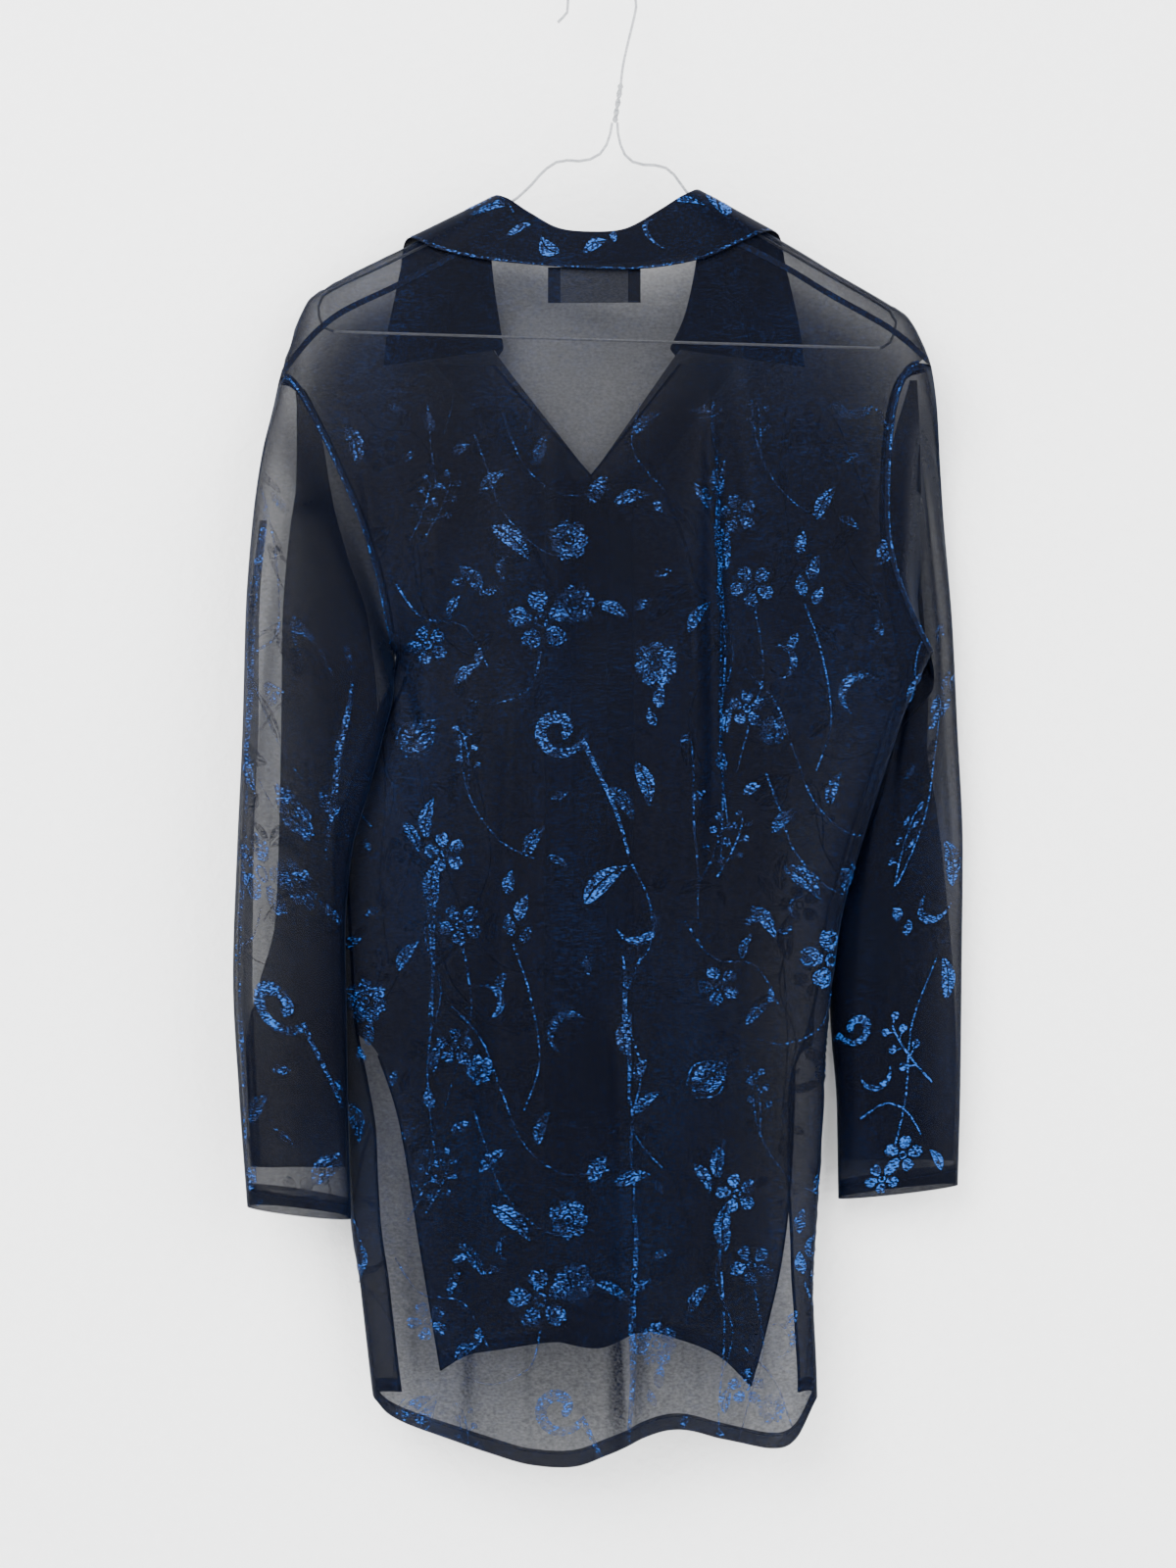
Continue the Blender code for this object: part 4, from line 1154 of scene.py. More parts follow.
def collar_rows():
    """Seam, fold and edge points and the turn of each row of the collar."""
    rows = []
    for row in COLLAR:
        face = BACK if row.turn < 0 else FRONT
        seam_height = min(row.seam_z, float(crest_height(row.seam_x)))
        seam_y = float(torso_y(np.array(float(row.seam_x)), np.array(seam_height), face))
        edge_height = min(row.edge_z, float(crest_height(row.edge_x)))
        leaf = float(torso_y(np.array(float(row.edge_x)), np.array(float(edge_height)), face))
        edge_y = leaf + row.turn * LEAF_LIFT if row.turn else HANGER_TURN * row.edge_x
        fold_y = seam_y + row.turn * FOLD_LIFT
        seam = (row.seam_x, seam_y, seam_height)
        fold = (row.fold_x, fold_y, row.fold_z)
        rows.append(seam + fold + (row.edge_x, edge_y, row.edge_z, row.turn))
    return rows


def clear_of_torso(points, turn):
    """Move points of the leaf out, so that it lies on the panel under it."""
    face = np.where(turn < 0, BACK, FRONT)
    lifted = torso_y(points[:, 0], points[:, 2], face) + face * LEAF_LIFT
    below = (turn != 0) & (points[:, 2] <= crest_height(points[:, 0]))
    points[:, 1] = np.where(below & (face * (lifted - points[:, 1]) > 0), lifted, points[:, 1])
    return points


def collar_points():
    """A grid of the collar: a row for each section, from the neck seam to the leaf's edge."""
    rows = collar_rows()
    values = between(rows, np.linspace(0, len(rows) - 1, COLLAR_SECTIONS + 1))
    seam = values[:, 0:3]
    fold = values[:, 3:6]
    edge = values[:, 6:9]
    turn = values[:, 9]
    drop = turn * np.abs(edge[:, 2] - fold[:, 2])
    outward = np.stack([edge[:, 0] - fold[:, 0], drop, 0 * turn], axis=-1)
    outward = outward / np.maximum(np.linalg.norm(outward, axis=-1, keepdims=True), 1e-9)
    across = outward * FOLD_SPREAD * 2
    rises = [k / COLLAR_STEPS for k in range(COLLAR_STEPS)]
    columns = [curve_point(seam, fold, fold - seam, across, t) for t in rises]
    for k in range(2 * COLLAR_STEPS + 1):
        t = (k / (2 * COLLAR_STEPS)) ** LEAF_CROWDING
        columns.append(clear_of_torso(curve_point(fold, edge, across, edge - fold, t), turn))
    return np.stack(columns, axis=1)


def double_sheet(points, gap):
    """Vertices and faces of two layers that meet at every edge."""
    normals = grid_normals(points)
    rows, columns = points.shape[:2]
    inside = np.ones((rows, columns, 1))
    inside[[0, -1]] = 0
    inside[:, [0, -1]] = 0
    upper = (points + normals * gap / 2 * inside).reshape(-1, 3)
    lower = (points - normals * gap / 2 * inside).reshape(-1, 3)
    count = len(upper)
    faces = grid_faces(rows, columns)
    faces += [tuple(index + count for index in face[::-1]) for face in grid_faces(rows, columns)]
    return np.concatenate([upper, lower]), faces


collar_grid = collar_points()
collar_vertices, collar_faces = double_sheet(collar_grid, COLLAR_WALL)
collar = mesh_object("collar_cloth", collar_vertices, collar_faces, collar_finish, "mesh_cloth")
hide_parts("collar")
print("collar area", round(area_of(collar) / 2, 3), "m2")

# %% [markdown]
# Turned hems and cuffs
#
# A hem is the cloth's own end, turned up and stitched, so it is a band of two layers and looks
# darker than the cloth above it. The solids show it as a thicker rim. Here it is a second thin
# layer just inside the first, which darkens by itself, since the finish adds up layer by layer.

# %% Turned hems and cuffs
BAND_GAP = 0.7
BAND_INSET = 0.0005


def inner_band(name, points, toward):
    """A second layer of cloth inside a panel. Toward is 1 or -1 along the grid's normals."""
    shifted = points + grid_normals(points) * BAND_GAP * toward
    return grid_object(name, shifted, back_finish, "mesh_cloth")


def turned_part(length):
    """Fractions along a piece of a given length where its end is turned up."""
    return np.linspace(1 - HEM_TURN / length, 1 - BAND_INSET, 5)


hem_down = turned_part(BACK_LENGTH)
front_hem_down = turned_part(FRONT_LENGTH)
cuff_along = turned_part(SLEEVE_LENGTH)
back_hem_band = inner_band("back_hem_band", back_points(back_across, hem_down), 1)
left_hem_band = inner_band(
    "front_left_hem_band", front_points(LEFT_EDGES, -1, front_across, front_hem_down), 1)
right_hem_band = inner_band(
    "front_right_hem_band", front_points(RIGHT_EDGES, 1, front_across, front_hem_down), -1)
left_cuff_band = grid_object(
    "left_cuff_band",
    sleeve_points(LEFT_SLEEVE, LEFT_SLEEVE_FOLDS, around, cuff_along, -BAND_GAP),
    left_sleeve_finish, "mesh_cloth", closed=True)
right_cuff_band = grid_object(
    "right_cuff_band",
    sleeve_points(RIGHT_SLEEVE, RIGHT_SLEEVE_FOLDS, around, cuff_along, -BAND_GAP),
    right_sleeve_finish, "mesh_cloth", closed=True)
print("hem turn:", HEM_TURN, "mm")

# %% [markdown]
# Facings
#
# Inside each front a strip of cloth, the facing, runs along the V and down beside the buttons.
# It stiffens the edge. It hardly shows through the back in the photo, so its finish lets most
# of the light pass. It is a grid that follows the front's edge at a small distance inside.

# %% Facings
FACING_WIDTH = 44
FACING_TOP_DROP = 6
FACING_INSET = 2.0
FACING_BOTTOM = -985
FACING_DEPTH = 2.0


def facing_points(side, edge_x):
    """Points of the facing inside a front, along the V and down beside the buttons."""
    corner = COLLAR[0] if side < 0 else COLLAR[-1]
    top = (corner.seam_x, corner.seam_z - FACING_TOP_DROP)
    edge = [top, tuple(V_BOTTOM), (edge_x, OVERLAP_START)]
    edge += [(edge_x, level) for level in EDGE_LEVELS]
    edge.append((edge_x, FACING_BOTTOM))
    line = resample(edge, np.linspace(0, 1, 121))
    offsets = side * (FACING_INSET + FACING_WIDTH * np.linspace(0, 1, 13))
    x = line[:, :1] + offsets[None, :]
    z = np.repeat(line[:, 1:], x.shape[1], axis=1)
    points = front_shift(np.stack([x, torso_y(x, z, FRONT), z], axis=-1), side)
    points[..., 1] -= FACING_DEPTH
    return points


facing_left = grid_object(
    "facing_left_cloth", facing_points(-1, LEFT_FRONT_EDGE), facing_finish, "mesh_cloth")
facing_right = grid_object(
    "facing_right_cloth", facing_points(1, RIGHT_FRONT_EDGE), facing_finish, "mesh_cloth")
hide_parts("facing_left")
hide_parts("facing_right")
for made in (facing_left, facing_right):
    print(made.name, "area", round(area_of(made), 3), "m2")

# %% [markdown]
# Woven motifs
#
# The cloth has one repeat of flowers, curled stems, leaves and berries. It is charted and
# laid over each panel, then cut off at the panel's edge. How bright a motif shines changes
# from place to place, as the yarns do when they turn to the light. A picture of the pattern
# could be wrapped round the cloth instead, but then the export would have no shapes. Here each
# motif is a little grid of flat faces, about one unit across, that is turned, scaled and moved.

# %% Shapes of the motifs
def ribbon(path, widths):
    """A strip of points on both sides of a path."""
    path = np.asarray(path, float)
    ahead = np.gradient(path, axis=0)
    ahead = ahead / np.maximum(np.linalg.norm(ahead, axis=1, keepdims=True), 1e-9)
    side = np.stack([-ahead[:, 1], ahead[:, 0]], axis=1) * (np.asarray(widths) / 2)[:, None]
    return np.stack([path - side, path + side], axis=1)


def arc(radius, start, end, count, centre=(0.0, 0.0)):
    """Points on an arc, with angles in degrees. The radius may change along it."""
    angle = np.radians(np.linspace(start, end, count))
    return np.stack([centre[0] + radius * np.cos(angle), centre[1] + radius * np.sin(angle)], axis=1)


def leaf_shape(width=0.17, gap=0.018, bend=0.10):
    """A pointed leaf with an open midrib, one unit long."""
    t = np.linspace(0, 1, 11)
    half = width * np.sin(np.pi * t**0.8) ** 0.9
    spine = bend * 4 * t * (1 - t)
    halves = []
    for side in (-1, 1):
        near = np.stack([t - 0.5, spine + side * np.minimum(gap, half)], axis=1)
        far = np.stack([t - 0.5, spine + side * half], axis=1)
        halves.append(np.stack([near, far], axis=1))
    return halves


def petal_shape():
    """A short, broad leaf without a midrib."""
    return leaf_shape(0.24, 0.0, 0.06)


def turned(grids, degrees):
    """Grids of flat points turned about their middle."""
    angle = math.radians(degrees)
    matrix = np.array([[math.cos(angle), math.sin(angle)], [-math.sin(angle), math.cos(angle)]])
    return [grid @ matrix for grid in grids]


def moved(grids, x, z, size):
    """Grids of flat points scaled and moved."""
    return [grid * size + np.array([x, z]) for grid in grids]


def flower_shape(petals=5):
    """Round notched petals about an open centre, one unit across."""
    grids = []
    t = np.linspace(0, 1, 8)
    half = 0.02 + 0.135 * np.sin(np.pi * (0.12 + 0.78 * t) ** 1.2)
    for k in range(petals):
        wobble = 1 + 0.08 * math.sin(2.3 * k)
        length = 0.15 + 0.34 * wobble * t
        left = np.stack([length, -half], axis=1)
        middle_line = np.stack([length - 0.035 * (t > 0.95), 0 * half], axis=1)
        right = np.stack([length, half], axis=1)
        grids += turned([np.stack([left, middle_line, right], axis=1)], 90 + 360 * k / petals)
    ring = arc(0.085, 0, 360, 13)
    grids.append(ribbon(ring, np.full(13, 0.045)))
    return grids


def scroll_shape():
    """A stem with a curled head: the curl is about 0.6 across and the tail 1.6 long."""
    curl_count = 30
    tail_count = 26
    curl = arc(np.linspace(0.07, 0.30, curl_count), -60, 340, curl_count)
    tail_t = np.linspace(0.06, 1, tail_count)
    tail_x = 0.28 + 0.22 * np.sin(tail_t * 2.6) + 0.42 * tail_t**2
    tail_z = -0.10 - 1.35 * tail_t
    tail = np.stack([tail_x, tail_z], axis=1)
    path = np.concatenate([curl, tail])
    curl_widths = 0.05 + 0.09 * np.sin(np.linspace(0.3, 2.9, curl_count))
    widths = np.concatenate([curl_widths, np.linspace(0.06, 0.028, tail_count)])
    return [ribbon(path, widths)]


def crescent_shape():
    """A half ring that is thickest in its middle."""
    path = arc(0.42, 15, 205, 18)
    return [ribbon(path, 0.02 + 0.17 * np.sin(np.linspace(0, np.pi, 18)) ** 1.3)]


def bud_shape():
    """A broad bud with two inner lines."""
    grids = leaf_shape(0.30, 0.03, 0.0)
    for side in (-1, 1):
        t = np.linspace(0.1, 0.9, 10)
        line = np.stack([t - 0.62, side * (0.34 * np.sin(np.pi * t) + 0.05)], axis=1)
        grids.append(ribbon(line, np.full(10, 0.03)))
    return grids


def sprig_shape():
    """A stalk with berries on short side stalks."""
    t = np.linspace(0, 1, 14)
    stalk = np.stack([0.10 * np.sin(t * 2.2), t - 0.5], axis=1)
    grids = [ribbon(stalk, np.full(14, 0.025))]
    for k, place in enumerate((0.35, 0.5, 0.64, 0.78, 0.9, 1.0)):
        side = -1 if k % 2 else 1
        root = np.array([0.10 * math.sin(place * 2.2), place - 0.5])
        tip = root + np.array([side * (0.20 - 0.10 * place), 0.10])
        side_t = np.linspace(0, 1, 4)[:, None]
        grids.append(ribbon(root + (tip - root) * side_t, np.full(4, 0.018)))
        disc = [arc(radius, 0, 360, 11, tip) for radius in (0.005, 0.032, 0.055)]
        grids.append(np.stack(disc, axis=1))
    return grids


SHAPES = {
    "leaf": leaf_shape(),
    "petal": petal_shape(),
    "flower": flower_shape(),
    "daisy": flower_shape(7),
    "scroll": scroll_shape(),
    "crescent": crescent_shape(),
    "bud": bud_shape(),
    "sprig": sprig_shape(),
}
print("motif shapes:", len(SHAPES))

# %% [markdown]
# The repeat
#
# Woven cloth shows the same group of motifs again and again. Each row of the chart is one
# motif: its kind, its middle and size in millimetres, its angle in degrees and how much it
# shines. The stems are curves through a few points. Sizes and places were judged on the
# back, where the motifs shine most. The next column of copies hangs half a repeat lower.

# %% The repeat, charted
Motif = namedtuple("Motif", "kind x z size angle shine")
REPEAT_WIDTH = 210
REPEAT_HEIGHT = 489
HALF_DROP = 245
REPEAT = [
    Motif("leaf", 33, -331, 24, 40, 0.7),
    Motif("leaf", 22, -386, 27, 12, 0.9),
    Motif("petal", 40, -392, 12, -60, 0.4),
    Motif("leaf", 8, -467, 26, -24, 0.8),
    Motif("petal", 30, -462, 15, 30, 0.5),
    Motif("flower", -44, -474, 46, 8, 0.85),
    Motif("daisy", -19, -462, 30, 20, 0.1),
    Motif("leaf", -94, -446, 30, -52, 0.8),
    Motif("petal", -78, -452, 13, 20, 0.4),
    Motif("crescent", -66, -436, 20, 60, 0.2),
    Motif("leaf", -97, -512, 24, 38, 0.8),
    Motif("petal", -88, -499, 13, 85, 0.5),
    Motif("daisy", 39, -505, 33, 0, 0.5),
    Motif("petal", 42, -528, 18, 84, 0.8),
    Motif("petal", 36, -543, 14, 110, 0.6),
    Motif("leaf", 86, -372, 30, 80, 0.9),
    Motif("leaf", 90, -420, 36, 86, 1.0),
    Motif("flower", 108, -449, 32, 30, 0.4),
    Motif("scroll", -31, -553, 62, 0, 1.0),
    Motif("leaf", 29, -592, 34, -74, 0.8),
    Motif("leaf", 14, -606, 30, -56, 0.6),
    Motif("leaf", 3, -664, 42, 42, 1.0),
    Motif("crescent", 24, -690, 34, 190, 0.9),
    Motif("leaf", -48, -633, 28, 58, 0.7),
    Motif("leaf", -32, -648, 18, -30, 0.4),
    Motif("flower", -113, -641, 30, 12, 0.9),
    Motif("leaf", -138, -630, 24, -62, 0.8),
    Motif("petal", -66, -662, 18, 80, 1.0),
    Motif("petal", -57, -680, 20, 70, 0.9),
    Motif("petal", -66, -692, 17, 100, 0.9),
    Motif("petal", -54, -700, 15, 60, 0.8),
    Motif("sprig", -100, -577, 44, 10, 0.5),
    Motif("leaf", 91, -545, 22, 76, 0.8),
    Motif("petal", 86, -574, 17, 100, 0.7),
    Motif("petal", 70, -600, 13, 40, 0.3),
    Motif("sprig", 76, -641, 46, -16, 0.3),
    Motif("petal", 108, -690, 13, 18, 0.7),
    Motif("leaf", 104, -708, 20, 66, 0.7),
    Motif("flower", 84, -736, 30, 24, 0.5),
    Motif("leaf", 19, -770, 32, 82, 1.0),
    Motif("petal", 28, -796, 17, 64, 0.8),
    Motif("crescent", -22, -772, 36, 30, 0.2),
    Motif("bud", 78, -801, 34, 40, 0.7),
    Motif("flower", -106, -781, 28, 0, 0.8),
    Motif("daisy", -88, -797, 22, 10, 0.5),
    Motif("crescent", -84, -748, 28, 260, 0.5),
    Motif("petal", -72, -733, 15, 64, 0.6),
    Motif("petal", 44, -440, 13, 20, 0.3),
    Motif("petal", -10, -722, 14, 100, 0.4),
    Motif("petal", 60, -560, 12, 70, 0.5),
    Motif("leaf", -66, -418, 38, -42, 0.9),
    Motif("leaf", -78, -373, 26, 40, 0.7),
    Motif("petal", -2, -379, 24, 60, 0.7),
    Motif("sprig", -120, -392, 44, -20, 0.6),
    Motif("daisy", -24, -416, 30, 15, 0.6),
    Motif("leaf", -42, -350, 26, 70, 0.7),
    Motif("petal", -102, -350, 15, 30, 0.6),
    Motif("leaf", -140, -716, 26, 55, 0.7),
    Motif("petal", -30, -600, 14, 20, 0.5),
]
Stem = namedtuple("Stem", "shine points")
REPEAT_STEMS = [
    Stem(0.6, [(-103, -556), (-96, -599), (-74, -631), (-49, -645)]),
    Stem(0.8, [(20, -646), (34, -676), (35, -706), (24, -722)]),
    Stem(0.5, [(110, -466), (116, -510), (106, -548), (96, -584)]),
    Stem(0.7, [(85, -440), (88, -500), (84, -560), (90, -620)]),
    Stem(0.8, [(-64, -706), (-52, -742), (-45, -790), (-56, -826)]),
    Stem(0.5, [(-108, -752), (-86, -776), (-72, -812), (-56, -850), (-28, -872), (6, -868)]),
    Stem(0.7, [(28, -716), (16, -752), (28, -796), (22, -838), (44, -868)]),
    Stem(0.3, [(60, -690), (80, -716), (110, -722), (128, -752)]),
    Stem(0.4, [(-44, -496), (-52, -522), (-78, -534), (-98, -530)]),
    Stem(0.5, [(-118, -660), (-128, -700), (-116, -740), (-124, -772)]),
    Stem(0.7, [(-92, -338), (-82, -366), (-72, -394), (-48, -420), (-30, -428)]),
]
print("motifs in one repeat:", len(REPEAT) + len(REPEAT_STEMS))

# %% Copies of the repeat
STEM_WIDTH = 1.5
STEM_TAPER = 0.4
SHINE_CHANCE_SEED = 11
MOTIF_SHINE = (0.35, 1.1)
STEM_SHINE = (0.3, 0.8)


def motif_grids(motif):
    """The grids of one motif, in place on the flat cloth."""
    return moved(turned(SHAPES[motif.kind], motif.angle), motif.x, motif.z, motif.size)


def stem_grid(stem):
    """The grid of one stem, which is thinner at its end."""
    path = resample(stem.points, np.linspace(0, 1, 10 * len(stem.points)))
    return ribbon(path, STEM_WIDTH * (1 - STEM_TAPER * np.linspace(0, 1, len(path))))


def repeats(shift_x, shift_z, columns, rows):
    """Grids of flat points and their shine for copies of the repeat. Columns are half-dropped."""
    chance = np.random.default_rng(SHINE_CHANCE_SEED + int(abs(shift_x)) + int(abs(shift_z)))
    found = []
    for column in columns:
        for row in rows:
            drop = row * REPEAT_HEIGHT + HALF_DROP * column
            offset = np.array([shift_x + column * REPEAT_WIDTH, shift_z - drop])
            for motif in REPEAT:
                shine = motif.shine * chance.uniform(*MOTIF_SHINE)
                found += [(grid + offset, shine) for grid in motif_grids(motif)]
            for stem in REPEAT_STEMS:
                found.append((stem_grid(stem) + offset, stem.shine * chance.uniform(*STEM_SHINE)))
    return found


print("flat grids on the back:", len(repeats(0, 0, (-1, 0, 1), (-1, 0, 1))))

# %% [markdown]
# Cutting the repeat to a piece
#
# Cloth is woven first and cut afterwards, so a motif ends wherever the piece's edge happens to
# be. The same is done here: faces with a corner outside the piece's outline are dropped. All
# motifs of a piece then become one mesh, which is laid on the cloth and lifted off it a little.
# The corners carry how much they shine, and the finish reads that number.

# %% Cutting the repeat to a piece
def inside_outline(places, outline):
    """Which flat points lie inside an outline."""
    outline = np.array(outline, float)
    x = places[:, 0]
    z = places[:, 1]
    inside = np.zeros(len(places), bool)
    for (x0, z0), (x1, z1) in zip(outline, np.roll(outline, -1, axis=0)):
        crosses = (z0 > z) != (z1 > z)
        at = x0 + (z - z0) * (x1 - x0) / (z1 - z0 if z1 != z0 else 1e-9)
        inside ^= crosses & (x < at)
    return inside


def outline_of(edges):
    """The closed outline of a pattern piece."""
    top, bottom, start, end = edges
    fine = np.linspace(0, 1, 120)
    sides = [resample(top, fine), resample(end, fine), resample(bottom, fine)[::-1]]
    return np.concatenate(sides + [resample(start, fine)[::-1]])


def motif_object(name, found, surface, keep, finish):
    """One mesh of all motifs of a piece. Surface maps flat points to the cloth's points."""
    vertices = []
    faces = []
    shines = []
    count = 0
    for grid, shine in found:
        rows, columns = grid.shape[:2]
        vertices.append(grid.reshape(-1, 2))
        faces += grid_faces(rows, columns, start=count)
        shines.append(np.full(rows * columns, shine))
        count += rows * columns
    flat = np.concatenate(vertices)
    kept = keep(flat)
    faces = [face for face in faces if all(kept[index] for index in face)]
    used = np.unique(np.array(faces))
    order = np.full(count, -1)
    order[used] = np.arange(len(used))
    faces = [tuple(int(order[index]) for index in face) for face in faces]
    points, dim = surface(flat[used])
    return mesh_object(name, points, faces, finish, "mesh_cloth", np.concatenate(shines)[used] * dim)


print("points on the back's outline:", len(outline_of(BACK_EDGES)))

# %% Where the motifs lie on the cloth
MOTIF_LIFT = 0.45


def lifted_off(surface, flat, lift):
    """Points of a surface moved along its normal by a lift."""
    step = 0.5
    points = surface(flat[:, 0], flat[:, 1])
    east = surface(flat[:, 0] + step, flat[:, 1]) - surface(flat[:, 0] - step, flat[:, 1])
    up = surface(flat[:, 0], flat[:, 1] + step) - surface(flat[:, 0], flat[:, 1] - step)
    normal = np.cross(east, up)
    normal = normal / np.maximum(np.linalg.norm(normal, axis=1, keepdims=True), 1e-9)
    return points + normal * lift


SHINE_TOP = -250
SHINE_RISE = 230
SHINE_BOTTOM = -985
SHINE_FALL = 30
TOP_SHINE = -0.8
SHINE_GAIN = 1.8
SHINE_LOSS = 0.5


def torso_shine(z):
    """Motifs near the shoulders hardly shine, and those below the fronts' hem shine less."""
    below_shoulders = smooth_step((SHINE_TOP - z) / SHINE_RISE)
    below_hem = smooth_step((SHINE_BOTTOM - z) / SHINE_FALL)
    return TOP_SHINE + SHINE_GAIN * below_shoulders - SHINE_LOSS * below_hem


def back_surface(flat):
    """Points and shine on the outside of the back."""
    points = lifted_off(lambda x, z: on_torso(x, z, BACK), flat, MOTIF_LIFT)
    return points, torso_shine(flat[:, 1])


def front_surface(side):
    """A surface that gives points and shine on the outside of a front."""
    def surface(flat):
        points = lifted_off(lambda x, z: front_shift(on_torso(x, z, FRONT), side), flat, -MOTIF_LIFT)
        return points, torso_shine(flat[:, 1])
    return surface


WIDTH_RING = 5
SLEEVE_SHINE_TOP = -90
SLEEVE_SHINE_RISE = 160
SLEEVE_TOP_SHINE = -0.4
SLEEVE_MOTIF_TOP = -105


def sleeve_surface(rings, folds, lift, brightest):
    """Flat points of a sleeve: x is the distance in from its outer edge, z the length down it.
    Points with x above 0 lie on the back of the sleeve, and those below 0 on its front."""
    width = abs(rings[WIDTH_RING].outer_x - rings[WIDTH_RING].inner_x)

    def at(x, z):
        share = np.clip(np.abs(x) / width, 0, 1)
        turn = np.arccos(1 - 2 * share) / (2 * math.pi)
        turn = np.where(x < 0, 1 - turn, turn)
        return sleeve_at(rings, folds, turn, np.clip(-z / SLEEVE_LENGTH, 0, 1), lift)

    def surface(flat):
        brighter = smooth_step((SLEEVE_SHINE_TOP - flat[:, 1]) / SLEEVE_SHINE_RISE)
        shine = SLEEVE_TOP_SHINE + (brightest - SLEEVE_TOP_SHINE) * brighter
        return at(flat[:, 0], flat[:, 1]), shine

    def keep(flat):
        on_sleeve = (np.abs(flat[:, 0]) < width - 1) & (flat[:, 1] > -SLEEVE_LENGTH + 2)
        return on_sleeve & (flat[:, 1] < SLEEVE_MOTIF_TOP)

    return surface, keep


print("motifs lie", MOTIF_LIFT, "mm off the cloth")

# %% [markdown]
# Glints of the folds
#
# Where a fold turns to the light, the shiny yarns light up along it as a long pale streak. The
# stage's soft light is too even to show that on such thin cloth, so each streak is a painted
# highlight: a narrow ribbon in the same yarn finish. A row gives its two ends, its width and its shine.

# %% Glints of the folds
FoldGlint = namedtuple("FoldGlint", "top_x top_z bottom_x bottom_z width shine")
BACK_GLINTS = [
    FoldGlint(79, -300, 82, -380, 2.2, 0.50),
    FoldGlint(82, -376, 84, -456, 4.0, 0.90),
    FoldGlint(84, -450, 86, -650, 1.8, 0.25),
    FoldGlint(15, -715, 20, -820, 3.6, 0.55),
    FoldGlint(20, -815, 23, -905, 2.2, 0.25),
    FoldGlint(24, -900, 20, -1062, 5.0, 0.40),
    FoldGlint(64, -560, 70, -690, 1.8, 0.15),
    FoldGlint(-118, -640, -124, -760, 2.2, 0.20),
]
LEFT_SLEEVE_GLINTS = [
    FoldGlint(4, -130, 5, -330, 5.0, 0.30),
    FoldGlint(6, -330, 4, -585, 3.5, 0.12),
    FoldGlint(58, -150, 64, -330, 4.0, 0.25),
]
GLINT_SWAY = 0.8


def glint_grids(table):
    """Ribbons of shiny yarn that paint the highlight where a fold turns to the light."""
    found = []
    for glint in table:
        t = np.linspace(0, 1, 40)
        sway = GLINT_SWAY * np.sin(t * 11)
        x = glint.top_x + (glint.bottom_x - glint.top_x) * t + sway
        z = glint.top_z + (glint.bottom_z - glint.top_z) * t
        widths = glint.width * (0.35 + 0.65 * np.sin(np.pi * t))
        found.append((ribbon(np.stack([x, z], axis=1), widths), glint.shine))
    return found


print("glints:", len(BACK_GLINTS) + len(LEFT_SLEEVE_GLINTS))

# %% Motifs of the back and the fronts
MOTIF_TOP = -315
LEFT_REPEAT_START = (-37, 143)
RIGHT_REPEAT_START = (48, 206)


def kept_on(edges):
    """A test for flat points that lie on a piece and below the shoulders."""
    return lambda flat: inside_outline(flat, outline_of(edges)) & (flat[:, 1] < MOTIF_TOP)


back_found = repeats(0, 0, (-1, 0, 1), (-1, 0, 1)) + glint_grids(BACK_GLINTS)
left_found = repeats(*LEFT_REPEAT_START, (-1, 0), (-1, 0, 1, 2))
right_found = repeats(*RIGHT_REPEAT_START, (0, 1), (-1, 0, 1, 2))
back_motifs = motif_object(
    "back_motifs", back_found, back_surface, kept_on(BACK_EDGES), motif_yarn)
left_motifs = motif_object(
    "front_left_motifs", left_found, front_surface(-1), kept_on(LEFT_EDGES), motif_yarn)
right_motifs = motif_object(
    "front_right_motifs", right_found, front_surface(1), kept_on(RIGHT_EDGES), motif_yarn)
for made in (back_motifs, left_motifs, right_motifs):
    print(made.name, "faces", len(made.data.polygons))

# %% [markdown]
# Motifs of the sleeves
#
# On the left sleeve the repeat runs on. The right one hangs with its cuff full of larger
# flowers and leaves in bright blue, so it has a chart of its own. Here x is the distance in
# from the sleeve's outer edge and z the length down from the shoulder. Rows with x below 0 are
# on the side that faces the wall.

